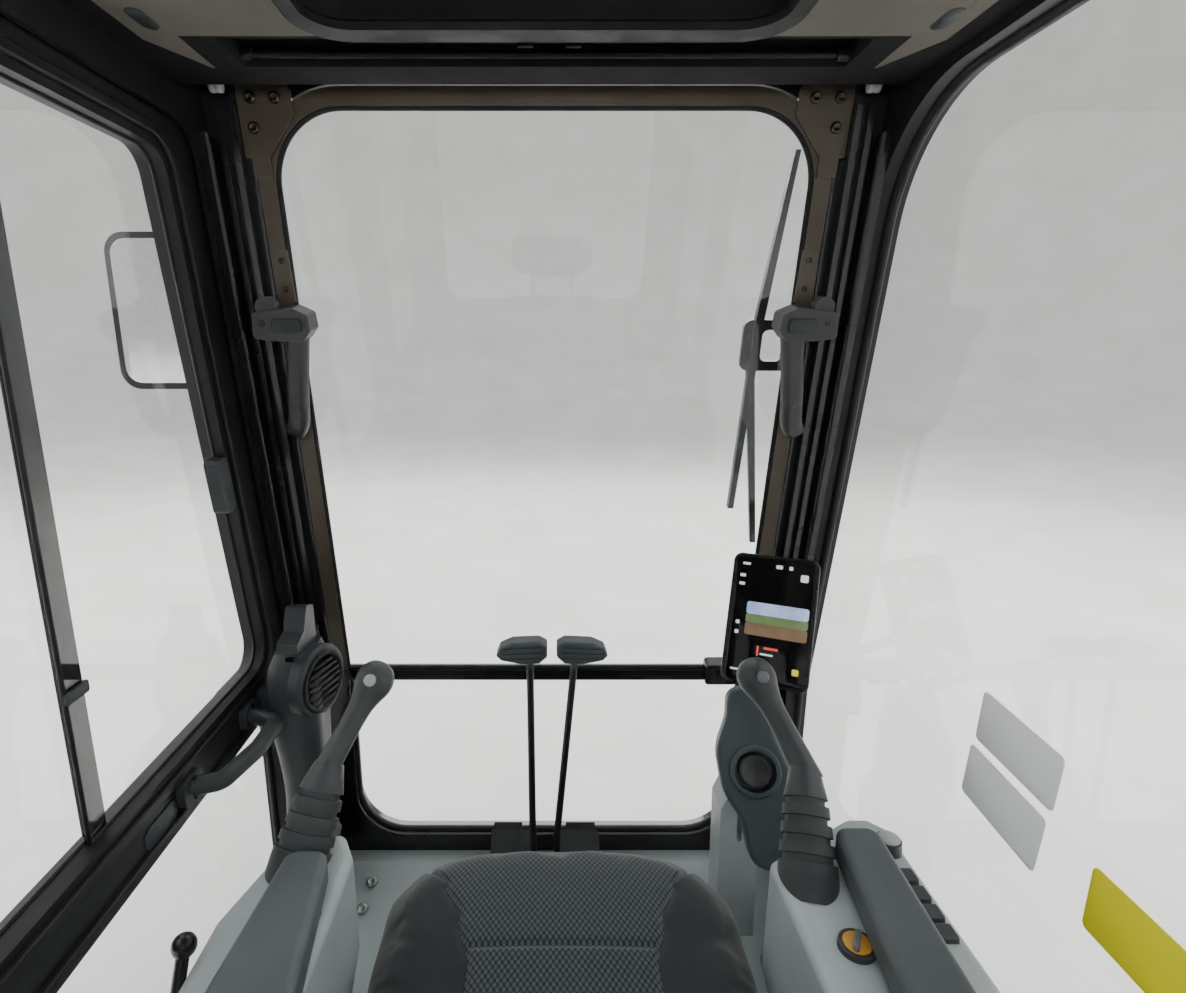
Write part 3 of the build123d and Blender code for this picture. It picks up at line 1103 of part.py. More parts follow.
# Travel levers through the toe board with their pedals
for row in LEVERS:
    out = row["side"]
    with BuildPart() as lever:
        with BuildSketch(Plane.XZ.offset(GRIP_THICK / 2 - LEVER_Y)) as outline:
            add(polygon([(row["inner_x"] + out * x, LEVER_Z + z) for x, z in GRIP_OUTLINE], 4))
        extrude(amount=-GRIP_THICK)
        fillet(lever.faces().filter_by(Plane.XZ).edges(), 5)
        with BuildSketch(Plane.XZ.offset(GRIP_THICK / 2 - LEVER_Y)):
            for z in GRIP_GROOVES:
                with Locations((row["inner_x"] + out * 44, LEVER_Z + z)):
                    SlotOverall(76 - abs(z), GRIP_GROOVE, rotation=-out * 3)
        extrude(amount=-GRIP_GROOVE, mode=Mode.SUBTRACT)
        with BuildLine() as path:
            FilletPolyline((row["rod_low"], LEVER_FOOT_Y, TOE_Z + 40), (row["rod_low"], LEVER_FOOT_Y, TOE_Z + 150),
                           (row["rod_top"], LEVER_Y, LEVER_Z - 12), radius=60)
        with BuildSketch(Plane(origin=path.wire() @ 0, z_dir=path.wire() % 0)):
            Circle(LEVER_ROD_R)
        sweep()
        with BuildSketch(Plane.YZ.offset(row["rod_low"] - 7)) as pedal:
            with BuildLine():
                Polyline((LEVER_FOOT_Y + 24, toe_z(LEVER_FOOT_Y + 24)), (LEVER_FOOT_Y + 24, TOE_Z + 60),
                         (LEVER_FOOT_Y - 24, TOE_Z + 60), (LEVER_FOOT_Y - 24, toe_z(LEVER_FOOT_Y - 24)), close=True)
            make_face()
        extrude(amount=14)
        with BuildSketch(Plane.YZ.offset(row["rod_low"] + out * 40 - 45)) as plate:
            with BuildLine():
                Polyline((LEVER_FOOT_Y - 30, TOE_Z + 20), (LEVER_FOOT_Y + 90, TOE_Z + 75),
                         (LEVER_FOOT_Y + 84, TOE_Z + 88), (LEVER_FOOT_Y - 36, TOE_Z + 33), close=True)
            make_face()
        extrude(amount=90)
    finish(lever, "travel_lever_" + row["name"])

# Monitor on its arm at the right pillar
MONITOR_PLANE = Plane(origin=MONITOR_AT, x_dir=(cos(radians(MONITOR_YAW)), -sin(radians(MONITOR_YAW)), 0),
                      z_dir=(-sin(radians(MONITOR_YAW)) * cos(radians(MONITOR_PITCH)),
                             -cos(radians(MONITOR_YAW)) * cos(radians(MONITOR_PITCH)),
                             sin(radians(MONITOR_PITCH))))
with BuildPart() as monitor:
    with BuildSketch(MONITOR_PLANE.offset(-MONITOR_SIZE[2])):
        RectangleRounded(MONITOR_SIZE[0], MONITOR_SIZE[1], 14)
    extrude(amount=MONITOR_SIZE[2])
    fillet(monitor.faces().sort_by(Axis.Y)[0].edges(), 4)
finish(monitor, "monitor")

with BuildPart() as monitor_mount:
    with BuildSketch(MONITOR_PLANE.offset(-MONITOR_SIZE[2] - FIT)):
        with Locations((10, -30)):
            RectangleRounded(70, 90, 10)
    extrude(amount=-24)
    with BuildLine() as path:
        FilletPolyline((INNER - 115, 745, 800), (INNER - 95, 800, 745), (INNER - 75, 871, 690), (INNER - 75, 871, 590),
                       radius=12)
    with BuildSketch(Plane(origin=path.wire() @ 0, z_dir=path.wire() % 0)):
        Circle(10)
    sweep()
    with BuildSketch(Plane.XZ.offset(FIT - SPLIT_Y)):
        with Locations((INNER - 60, 585)):
            RectangleRounded(50, 50, 8)
    extrude(amount=44)
finish(monitor_mount, "monitor_mount")

# Right front pod: a leaning shell with a raised cup ring, on a light stand
POD = Plane(origin=POD_AT, x_dir=(-POD_FACE[1], POD_FACE[0], 0), z_dir=POD_FACE)
with BuildPart() as right_pod:
    with BuildSketch(POD) as face:
        with BuildLine():
            Spline(*POD_OUTLINE, periodic=True)
        make_face()
    extrude(amount=-POD_THICK)
    fillet(right_pod.faces().sort_by(SortBy.AREA)[-1].edges(), 8)
    with BuildSketch(POD.offset(-2)):
        Circle(CUP_R + CUP_RIM)
    extrude(amount=9)
    fillet(right_pod.edges().filter_by(GeomType.CIRCLE).sort_by(Axis.Y)[0], 4)
    with BuildSketch(POD.offset(10)):
        Circle(CUP_R)
    extrude(amount=-CUP_DEEP, mode=Mode.SUBTRACT)
finish(right_pod, "right_pod")

# Stand of the pod: a slotted light column down to the toe board
with BuildPart() as pod_stand:
    with BuildSketch(Plane.YZ.offset(STAND_X[0])) as side:
        with BuildLine():
            Polyline((742, toe_z(742)), (800, toe_z(800)), (822, 470), (816, 640), (790, 668), (780, 560), (756, 470),
                     close=True)
        make_face()
        fillet(side.vertices().group_by(Axis.Y)[-1], 14)
    extrude(amount=STAND_X[1] - STAND_X[0])
    with BuildSketch(Plane.XZ.offset(-700)):
        with BuildLine():
            Polyline((STAND_X[0], 0), *[(STAND_X[0] + inset, z) for z, inset in STAND_NECK],
                     *[(STAND_X[1] - inset, z) for z, inset in STAND_NECK[::-1]], (STAND_X[1], 0), close=True)
        make_face()
    extrude(amount=-200, mode=Mode.INTERSECT)
    with BuildSketch(Plane.XZ.offset(-700)):
        with Locations(((STAND_X[0] + STAND_X[1]) / 2, 400)):
            SlotOverall(70, 10, rotation=90)
    extrude(amount=-200, mode=Mode.SUBTRACT)
    with BuildSketch(POD.offset(-POD_THICK - FIT)):
        with Locations(STAND_PAD_AT):
            RectangleRounded(*STAND_PAD, 8)
    extrude(amount=-STAND_PAD_REACH)
finish(pod_stand, "pod_stand")

# Left duct: a curved neck lofted up to the vent head, the round vent on its inner side and a cap on top
with BuildPart() as left_duct:
    for row in DUCT_SECTIONS:
        with BuildSketch(Plane.XY.offset(row["z"])):
            with Locations((row["x"] - INNER, row["y"])):
                RectangleRounded(row["wide"], row["deep"], min(row["wide"], row["deep"]) * 0.36)
    loft()
    with BuildSketch(Plane.YZ.offset(DUCT_SECTIONS[0]["x"] - INNER - 24)):
        with BuildLine():
            Polyline((772, toe_z(772)), (838, toe_z(838)), (838, DUCT_SECTIONS[0]["z"] + 10),
                     (762, DUCT_SECTIONS[0]["z"] + 10), close=True)
        make_face()
    extrude(amount=48)
    vent = Plane(origin=(VENT_AT[0] - INNER, VENT_AT[1], VENT_AT[2]), x_dir=(0.3, 0.95, 0), z_dir=(0.95, -0.3, 0))
    with BuildSketch(vent.offset(-VENT_THICK)):
        Circle(VENT_R)
    extrude(amount=VENT_THICK)
    fillet(left_duct.edges().filter_by(GeomType.CIRCLE).sort_by(Axis.X)[-1], 7)
    with BuildSketch(Plane(origin=(66 - INNER, 700, 742), x_dir=(1, 0, 0), z_dir=(0, -1, 0.35))):
        with Locations((0, 0)):
            RectangleRounded(26, 40, 4)
    extrude(amount=-18, both=True, mode=Mode.SUBTRACT)
    with BuildSketch(Plane.YZ.offset(48 - INNER)) as side:
        with BuildLine():
            Polyline((700, 772 + FIT), (756, 772 + FIT), (752, 834), (722, 842), (704, 806), (672, 796), (668, 782),
                     close=True)
        make_face()
        fillet(side.vertices().sort_by(Axis.Y)[-2:], 8)
    extrude(amount=34)
finish(left_duct, "left_duct")

# Rear shelf over the air conditioner
SHELF_TOP_Z = 560
with BuildPart() as rear_shelf:
    with BuildSketch(Plane.YZ.offset(-INNER + LINER_GAP)) as section:
        with BuildLine():
            Polyline((REAR_Y + REAR_WALL + 2, FLOOR_Z), (-540, FLOOR_Z), (-560, SHELF_TOP_Z - 40),
                     (-600, SHELF_TOP_Z), (REAR_Y + REAR_WALL + 2, SHELF_TOP_Z), close=True)
        make_face()
        fillet(section.vertices().sort_by(Axis.Y)[-2:], 20)
    extrude(amount=2 * (INNER - LINER_GAP))
finish(rear_shelf, "rear_shelf")

# Shade rod in the header's recess, with its end bosses
with BuildPart() as shade_rod:
    with Locations((0, ROD_Y, LINER_BOTTOM_Z + ROD_UP)):
        Cylinder(ROD_R, 2 * ROD_HALF, rotation=(0, 90, 0))
    for side in (-1, 1):
        with Locations((side * ROD_HALF, ROD_Y, LINER_BOTTOM_Z + ROD_UP)):
            Cylinder(ROD_BOSS[0], ROD_BOSS[1], rotation=(0, 90, 0))
finish(shade_rod, "shade_rod")

# Mirror on its arm from the left pillar
with BuildPart() as mirror_arm:
    with BuildLine() as path:
        FilletPolyline((-HALF + 4, 757, MIRROR_ARM_Z), (-HALF - 90, 850, MIRROR_ARM_Z),
                       (MIRROR_AT[0], MIRROR_AT[1] + 27.5, MIRROR_ARM_Z),
                       (MIRROR_AT[0], MIRROR_AT[1] + 27.5, MIRROR_AT[2] + 12), radius=30)
    with BuildSketch(Plane(origin=path.wire() @ 0, z_dir=path.wire() % 0)):
        Circle(MIRROR_ARM_R)
    sweep()
    split(bisect_by=Plane.YZ.offset(-HALF), keep=Keep.BOTTOM)
    with BuildSketch(Plane.YZ.offset(-HALF)):
        with Locations((757, MIRROR_ARM_Z)):
            RectangleRounded(34, 90, 12)
    extrude(amount=-10)
finish(mirror_arm, "mirror_arm")

with BuildPart() as door_mirror:
    with BuildSketch(Plane.XZ.offset(-MIRROR_AT[1])):
        with Locations((MIRROR_AT[0], MIRROR_AT[2])):
            RectangleRounded(MIRROR_SIZE[0], MIRROR_SIZE[1], 36)
    extrude(amount=-MIRROR_SIZE[2] / 2, taper=25)
    extrude(door_mirror.faces().sort_by(Axis.Y)[0], amount=8)
finish(door_mirror, "mirror")

# Wiper outside the windshield: pivot on the right pillar, bracket, arm and blade
WIPER_PLANE = SCREEN.offset(-FRAME_DEPTH)
WIPER_Z = CLEAR_TOP_Z - 335
with BuildPart() as wiper:
    with BuildSketch(WIPER_PLANE) as bracket:
        with Locations((OPEN_HALF + 12, up_slope(WIPER_Z))):
            RectangleRounded(46, 80, 12)
    extrude(amount=-20)
    with BuildSketch(WIPER_PLANE.offset(-8)) as plate:
        with Locations((OPEN_HALF - 38, up_slope(WIPER_Z))):
            RectangleRounded(100, 84, 14)
            RectangleRounded(36, 52, 10, mode=Mode.SUBTRACT)
    extrude(amount=-8)
    with BuildSketch(WIPER_PLANE.offset(-2)) as blade:
        with BuildLine():
            Polyline((OPEN_HALF - 44, up_slope(BLADE_TOP_Z)), (OPEN_HALF - 36, up_slope(BLADE_TOP_Z)),
                     (OPEN_HALF - 58, up_slope(WIPER_Z + 40)), (OPEN_HALF - 70, up_slope(WIPER_Z - 290)),
                     (OPEN_HALF - 80, up_slope(WIPER_Z - 290)), (OPEN_HALF - 72, up_slope(WIPER_Z + 40)), close=True)
        make_face()
    extrude(amount=-12)
    with BuildSketch(WIPER_PLANE.offset(-4)) as arm:
        with BuildLine():
            Polyline((OPEN_HALF - 78, up_slope(WIPER_Z - 30)), (OPEN_HALF - 64, up_slope(WIPER_Z - 30)),
                     (OPEN_HALF - 20, up_slope(WIPER_Z - 360)), (OPEN_HALF - 30, up_slope(WIPER_Z - 360)), close=True)
        make_face()
    extrude(amount=-8)
finish(wiper, "wiper")
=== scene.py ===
import bpy
import bmesh
import json
from math import cos, exp, pi, radians, sin
from mathutils import Matrix, Vector


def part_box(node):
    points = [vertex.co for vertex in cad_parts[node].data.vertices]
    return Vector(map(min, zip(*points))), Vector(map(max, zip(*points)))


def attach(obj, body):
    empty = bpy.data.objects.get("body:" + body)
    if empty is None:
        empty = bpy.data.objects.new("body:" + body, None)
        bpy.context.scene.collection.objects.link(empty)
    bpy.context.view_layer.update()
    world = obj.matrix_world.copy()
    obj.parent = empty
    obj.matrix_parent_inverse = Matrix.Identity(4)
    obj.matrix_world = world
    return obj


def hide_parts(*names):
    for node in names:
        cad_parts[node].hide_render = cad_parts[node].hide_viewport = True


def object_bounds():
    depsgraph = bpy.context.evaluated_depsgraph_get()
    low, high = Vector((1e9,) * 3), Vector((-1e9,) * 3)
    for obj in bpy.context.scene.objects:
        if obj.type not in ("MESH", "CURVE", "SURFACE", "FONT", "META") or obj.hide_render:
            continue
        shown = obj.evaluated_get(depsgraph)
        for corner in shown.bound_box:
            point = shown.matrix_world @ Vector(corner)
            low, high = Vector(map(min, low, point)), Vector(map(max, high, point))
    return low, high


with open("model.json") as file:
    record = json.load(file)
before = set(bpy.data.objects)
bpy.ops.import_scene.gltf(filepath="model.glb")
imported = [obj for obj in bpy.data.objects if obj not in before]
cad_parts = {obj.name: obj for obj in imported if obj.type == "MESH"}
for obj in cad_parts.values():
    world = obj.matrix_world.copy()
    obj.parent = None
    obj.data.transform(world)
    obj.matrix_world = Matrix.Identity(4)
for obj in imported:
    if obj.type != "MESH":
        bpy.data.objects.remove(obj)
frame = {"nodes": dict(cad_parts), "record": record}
cad_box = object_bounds()
NODES = frame["nodes"]
BODIES = frame["record"]["behaviour"]["bodies"]
BODY_OF = {node: body for body, members in BODIES.items() for node in members}

# Photograph frame and the fitted camera
IMAGE_WIDTH = 1186
FOCAL_PX = 662
CENTRE_X_PX = 545
CAMERA_AT = Vector((0.0, -0.300, 1.260))
CAMERA_PITCH = 12.85
SENSOR = 36.0

# Windshield plane: a point on its inner face and its lean
SCREEN_AT = Vector((0.0, 0.9035, 0.619))
LEAN = radians(10.9)
SCREEN_NORMAL = Vector((0, -cos(LEAN), -sin(LEAN)))
SCREEN_UP = Vector((0, -sin(LEAN), cos(LEAN)))

# Inner walls of the cab
INNER_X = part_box("left_side_frame")[1][0]
RIGHT_PANE_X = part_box("right_glass")[0][0]

LEFT, RIGHT, FORWARD, BACK, UP, DOWN = (Vector(v) for v in (
    (-1, 0, 0), (1, 0, 0), (0, 1, 0), (0, -1, 0), (0, 0, 1), (0, 0, -1)))
SIDES = (-1, 1)

# Keeps two faces that lie on each other from showing through
HAIR = 0.0001


def on_screen(x, z, proud=0.0):
    """A point on the leaning windshield plane, at a height and a distance inside it."""
    along = (z - SCREEN_AT.z) / SCREEN_UP.z
    return SCREEN_AT + RIGHT * x + SCREEN_UP * along + SCREEN_NORMAL * proud


def add_object(name, data):
    """A new object in the scene."""
    made = bpy.data.objects.new(name, data)
    bpy.context.scene.collection.objects.link(made)
    return made


def make_camera():
    """The fitted camera, whose axis lies left of the picture's middle."""
    data = bpy.data.cameras.new("camera")
    data.sensor_fit = "HORIZONTAL"
    data.sensor_width = SENSOR
    data.lens = FOCAL_PX * SENSOR / IMAGE_WIDTH
    data.shift_x = (IMAGE_WIDTH / 2 - CENTRE_X_PX) / IMAGE_WIDTH
    data.clip_start = 0.01
    camera = add_object("camera", data)
    camera.location = CAMERA_AT
    camera.rotation_euler = (radians(90 - CAMERA_PITCH), 0, 0)
    bpy.context.scene.camera = camera


# Materials


# Places of the colour sockets of a Mix node
MIX_SHARE, MIX_FIRST, MIX_SECOND, MIX_RESULT = 0, 6, 7, 2
# Width and strength of the lighter edges: partly a rub, partly a painted highlight
EDGE_RUB_AND_HIGHLIGHT_RADIUS = 0.003
EDGE_RUB_AND_HIGHLIGHT_STRENGTH = 0.5


class Shader:
    """A node material with the wiring that every finish here shares."""

    def __init__(self, name):
        self.material = bpy.data.materials.new(name)
        self.material.use_nodes = True
        self.tree = self.material.node_tree
        self.main = self.tree.nodes["Principled BSDF"]
        self.bumps = []

    def node(self, kind, inputs=None, **settings):
        """A new node with its settings and the values of its inputs."""
        made = self.tree.nodes.new(kind)
        for key, value in settings.items():
            setattr(made, key, value)
        for key, value in (inputs or {}).items():
            made.inputs[key].default_value = value
        return made

    def link(self, source, target):
        self.tree.links.new(source, target)

    def coordinates(self, scale=(1, 1, 1), offset=(0, 0, 0)):
        """The object's own coordinates, in metres, stretched and moved."""
        place = self.node("ShaderNodeTexCoord")
        stretch = self.node("ShaderNodeMapping", {"Scale": scale, "Location": offset})
        self.link(place.outputs["Object"], stretch.inputs["Vector"])
        return stretch.outputs["Vector"]

    def noise(self, scale, detail=3.0, roughness=0.55, vector=None):
        made = self.node("ShaderNodeTexNoise", {"Scale": scale, "Detail": detail, "Roughness": roughness})
        self.link(vector or self.coordinates(), made.inputs["Vector"])
        return made.outputs["Fac"]

    def cells(self, vector):
        """Distance from the nearest point of a regular lattice."""
        made = self.node("ShaderNodeTexVoronoi", {"Scale": 1.0, "Randomness": 0.0}, voronoi_dimensions="2D")
        self.link(vector, made.inputs["Vector"])
        return made.outputs["Distance"]

    def waves(self, scale, direction):
        made = self.node("ShaderNodeTexWave", {"Scale": scale}, bands_direction=direction)
        self.link(self.coordinates(), made.inputs["Vector"])
        return made.outputs["Fac"]

    def combine(self, operation, first, second):
        made = self.node("ShaderNodeMath", operation=operation)
        for value, socket in zip((first, second), made.inputs):
            if isinstance(value, (int, float)):
                socket.default_value = value
            else:
                self.link(value, socket)
        return made.outputs["Value"]

    def height(self):
        """The object's own z, in metres."""
        place = self.node("ShaderNodeTexCoord")
        split = self.node("ShaderNodeSeparateXYZ")
        self.link(place.outputs["Object"], split.inputs["Vector"])
        return split.outputs["Z"]

    def ramp(self, value, stops):
        made = self.node("ShaderNodeValToRGB")
        ramp = made.color_ramp
        while len(ramp.elements) < len(stops):
            ramp.elements.new(0.5)
        for element, (place, colour) in zip(ramp.elements, stops):
            element.position = place
            element.color = (*colour, 1)
        self.link(value, made.inputs["Fac"])
        return made.outputs["Color"]

    def spread(self, value, low, high, span=(0.3, 0.7)):
        """A span of a value mapped to low and high."""
        inputs = {"From Min": span[0], "From Max": span[1], "To Min": low, "To Max": high}
        made = self.node("ShaderNodeMapRange", inputs)
        self.link(value, made.inputs["Value"])
        return made.outputs["Result"]

    def mix(self, share, first, second):
        made = self.node("ShaderNodeMix", data_type="RGBA")
        self.link(share, made.inputs[MIX_SHARE])
        for value, socket in ((first, made.inputs[MIX_FIRST]), (second, made.inputs[MIX_SECOND])):
            if isinstance(value, tuple):
                socket.default_value = (*value, 1)
            else:
                self.link(value, socket)
        return made.outputs[MIX_RESULT]

    def rubbed_and_highlit_edges(self, colour, rub_and_highlight_colour):
        """Lighter edges, found from the bevelled normal: partly a rub, partly a painted highlight."""
        bevel = self.node("ShaderNodeBevel", {"Radius": EDGE_RUB_AND_HIGHLIGHT_RADIUS}, samples=4)
        geometry = self.node("ShaderNodeNewGeometry")
        alike = self.node("ShaderNodeVectorMath", operation="DOT_PRODUCT")
        self.link(bevel.outputs["Normal"], alike.inputs[0])
        self.link(geometry.outputs["Normal"], alike.inputs[1])
        edge = self.spread(alike.outputs["Value"], EDGE_RUB_AND_HIGHLIGHT_STRENGTH, 0.0, (0.90, 0.995))
        patchy = self.combine("MULTIPLY", edge, self.spread(self.noise(55, 4), 0.0, 1.0, (0.35, 0.6)))
        return self.mix(patchy, colour, rub_and_highlight_colour)

    def bump(self, height, strength, distance):
        """One more layer of relief over those before it."""
        made = self.node("ShaderNodeBump", {"Strength": strength, "Distance": distance})
        self.link(height, made.inputs["Height"])
        if self.bumps:
            self.link(self.bumps[-1].outputs["Normal"], made.inputs["Normal"])
        self.bumps.append(made)
        self.link(made.outputs["Normal"], self.main.inputs["Normal"])

    def colour(self, source):
        self.link(source, self.main.inputs["Base Color"])

    def roughness(self, source):
        self.link(source, self.main.inputs["Roughness"])

    def set(self, **values):
        for key, value in values.items():
            self.main.inputs[key.replace("_", " ")].default_value = value


def plastic(name, dark, light, roughness=(0.45, 0.6), grain=0.12, grain_scale=900, rub_and_highlight=None):
    """Moulded plastic: slow colour drift, a fine leather grain and, where given, lighter edges that are partly a rub
    and partly a painted highlight.
    """
    shader = Shader(name)
    tone = shader.ramp(shader.noise(7), [(0.3, dark), (0.7, light)])
    shader.colour(shader.rubbed_and_highlit_edges(tone, rub_and_highlight) if rub_and_highlight else tone)
    shader.roughness(shader.spread(shader.noise(30), *roughness))
    shader.bump(shader.noise(grain_scale, 2), grain, 0.0006)
    shader.set(Specular_IOR_Level=0.45)
    return shader.material


def black_paint(name, roughness, coat):
    """Black stove paint: a thin clear coat over slow drifts of gloss and dust."""
    shader = Shader(name)
    dark = shader.ramp(shader.noise(5), [(0.3, (0.009, 0.009, 0.010)), (0.75, (0.016, 0.016, 0.017))])
    dust = shader.spread(shader.noise(9, 5, 0.6), 0.0, 0.06, (0.5, 0.85))
    shader.colour(shader.mix(dust, dark, (0.10, 0.085, 0.07)))
    shader.roughness(shader.spread(shader.noise(6, 2), *roughness))
    shader.set(Coat_Weight=coat, Coat_Roughness=0.12, Specular_IOR_Level=0.35)
    return shader.material


def clear_glass():
    """Clear glass with a faint green drift."""
    shader = Shader("glass")
    shader.colour(shader.ramp(shader.noise(3), [(0.3, (0.93, 0.97, 0.95)), (0.7, (0.97, 0.99, 0.98))]))
    shader.set(Transmission_Weight=1.0, IOR=1.45, Roughness=0.0)
    return shader.material


def dotted_weave():
    """Seat centre cloth: rows of light dots in a staggered lattice on a charcoal ground."""
    shader = Shader("dotted_weave")
    pitch = 0.0078
    rows = (1 / pitch, 1 / (pitch * 1.5), 1.0)
    first = shader.cells(shader.coordinates(rows))
    second = shader.cells(shader.coordinates(rows, (0.5, 0.5, 0.0)))
    nearest = shader.combine("MINIMUM", first, second)
    dot = shader.spread(nearest, 1.0, 0.0, (0.22, 0.34))
    ground = shader.ramp(shader.noise(1400, 2), [(0.35, (0.014, 0.017, 0.019)), (0.65, (0.030, 0.035, 0.038))])
    thread = shader.ramp(shader.noise(900, 2), [(0.35, (0.060, 0.075, 0.080)), (0.65, (0.105, 0.125, 0.130))])
    shader.colour(shader.mix(dot, ground, thread))
    shader.roughness(shader.spread(shader.noise(60), 0.82, 0.95))
    shader.bump(dot, 0.35, 0.0010)
    shader.bump(shader.noise(1800, 2), 0.3, 0.0004)
    shader.set(Sheen_Weight=0.25, Sheen_Roughness=0.5, Specular_IOR_Level=0.25)
    return shader.material


def plain_cloth():
    """Bolster cloth: a fine tight weave with a soft nap."""
    shader = Shader("seat_cloth")
    across = shader.waves(520, "X")
    along = shader.waves(520, "Y")
    threads = shader.combine("MULTIPLY", across, along)
    drift = shader.noise(9, 4)
    tone = shader.ramp(drift, [(0.3, (0.020, 0.023, 0.025)), (0.7, (0.034, 0.038, 0.041))])
    shader.colour(shader.mix(shader.spread(threads, 0.0, 0.35, (0.2, 0.9)), tone, (0.055, 0.060, 0.064)))
    shader.roughness(shader.spread(shader.noise(50), 0.84, 0.96))
    shader.bump(threads, 0.25, 0.0005)
    shader.bump(shader.noise(35, 4), 0.12, 0.004)
    shader.set(Sheen_Weight=0.3, Sheen_Roughness=0.45, Specular_IOR_Level=0.25)
    return shader.material


def two_tone(name, change_z, lower, upper, roughness):
    """Satin moulded grip above a height and a second, duller surface below it."""
    shader = Shader(name)
    above = shader.spread(shader.height(), 0.0, 1.0, (change_z - 0.004, change_z + 0.004))
    below = shader.ramp(shader.noise(24), [(0.3, lower[0]), (0.7, lower[1])])
    moulded = shader.ramp(shader.noise(10), [(0.3, upper[0]), (0.7, upper[1])])
    shader.colour(shader.mix(above, below, moulded))
    shader.roughness(shader.spread(above, *roughness, (0.0, 1.0)))
    shader.bump(shader.noise(800, 2), 0.15, 0.0006)
    return shader.material


def brushed_metal(name, dark, light, roughness=(0.25, 0.4)):
    """Metal with a grain that runs one way."""
    shader = Shader(name)
    streaks = shader.noise(300, 3, vector=shader.coordinates((1, 12, 1)))
    shader.colour(shader.ramp(streaks, [(0.3, dark), (0.7, light)]))
    shader.roughness(shader.spread(shader.noise(40), *roughness))
    shader.bump(shader.noise(700, 2), 0.08, 0.0004)
    shader.set(Metallic=1.0)
    return shader.material


def silvered():
    """The mirror's silver, with slow drifts of gloss."""
    shader = Shader("mirror_glass")
    shader.colour(shader.ramp(shader.noise(4), [(0.3, (0.82, 0.84, 0.84)), (0.7, (0.88, 0.89, 0.89))]))
    shader.roughness(shader.spread(shader.noise(12), 0.0, 0.03))
    shader.set(Metallic=1.0)
    return shader.material


def glowing(name, low, high, strength):
    """A lit area of the display, its colour drifting between two tones."""
    shader = Shader(name)
    tone = shader.ramp(shader.noise(18, 4), [(0.3, low), (0.7, high)])
    shader.set(Base_Color=(0.01, 0.01, 0.012, 1), Emission_Strength=strength)
    shader.link(tone, shader.main.inputs["Emission Color"])
    shader.roughness(shader.spread(shader.noise(40), 0.08, 0.14))
    return shader.material


# Plastics and enamels: dark tone, light tone, roughness, grain depth and scale, colour of the lighter edges (partly a
# rub, partly a painted highlight)
PLASTICS = {
    "headliner": ((0.175, 0.155, 0.130), (0.225, 0.200, 0.170), (0.65, 0.8), 0.3, 500),
    "light_plastic": ((0.38, 0.43, 0.435), (0.47, 0.525, 0.53), (0.4, 0.55), 0.2, 700, (0.58, 0.62, 0.62)),
    "dark_plastic": ((0.026, 0.030, 0.033), (0.042, 0.048, 0.052), (0.4, 0.55), 0.25, 700, (0.12, 0.125, 0.13)),
    "rubber": ((0.010, 0.010, 0.011), (0.020, 0.020, 0.021), (0.5, 0.68)),
    "mirror_back": ((0.010, 0.010, 0.011), (0.018, 0.018, 0.019), (0.35, 0.5)),
    "screen_shell": ((0.008, 0.008, 0.009), (0.013, 0.013, 0.014), (0.22, 0.32)),
    "bracket_paint": ((0.060, 0.048, 0.034), (0.086, 0.069, 0.049), (0.3, 0.42), 0.05, 300, (0.18, 0.16, 0.13)),
    # The armrest's light edge colour is a painted highlight along its edges
    "armrest": ((0.074, 0.086, 0.090), (0.106, 0.121, 0.127), (0.42, 0.55), 0.25, 600, (0.20, 0.21, 0.215)),
    "matt_trim": ((0.006, 0.006, 0.007), (0.011, 0.011, 0.012), (0.8, 0.9)),
    "pod_plastic": ((0.056, 0.072, 0.077), (0.080, 0.100, 0.106), (0.42, 0.55), 0.25, 600),
    "latch_plastic": ((0.040, 0.041, 0.042), (0.062, 0.063, 0.064), (0.38, 0.5), 0.2, 700, (0.13, 0.13, 0.13)),
    "roller": ((0.66, 0.65, 0.62), (0.74, 0.73, 0.70), (0.35, 0.5)),
    "button": ((0.12, 0.125, 0.13), (0.16, 0.165, 0.17), (0.4, 0.5)),
    "pale_button": ((0.38, 0.39, 0.39), (0.46, 0.47, 0.47), (0.35, 0.45)),
    "dial": ((0.50, 0.25, 0.03), (0.62, 0.33, 0.05), (0.35, 0.5)),
    "white_plate": ((0.88, 0.92, 0.92), (0.93, 0.96, 0.96), (0.3, 0.45)),
    "yellow_plate": ((0.84, 0.76, 0.0), (0.92, 0.84, 0.0), (0.6, 0.75)),
    "display": ((0.004, 0.004, 0.005), (0.007, 0.007, 0.008), (0.06, 0.1), 0.02),
}
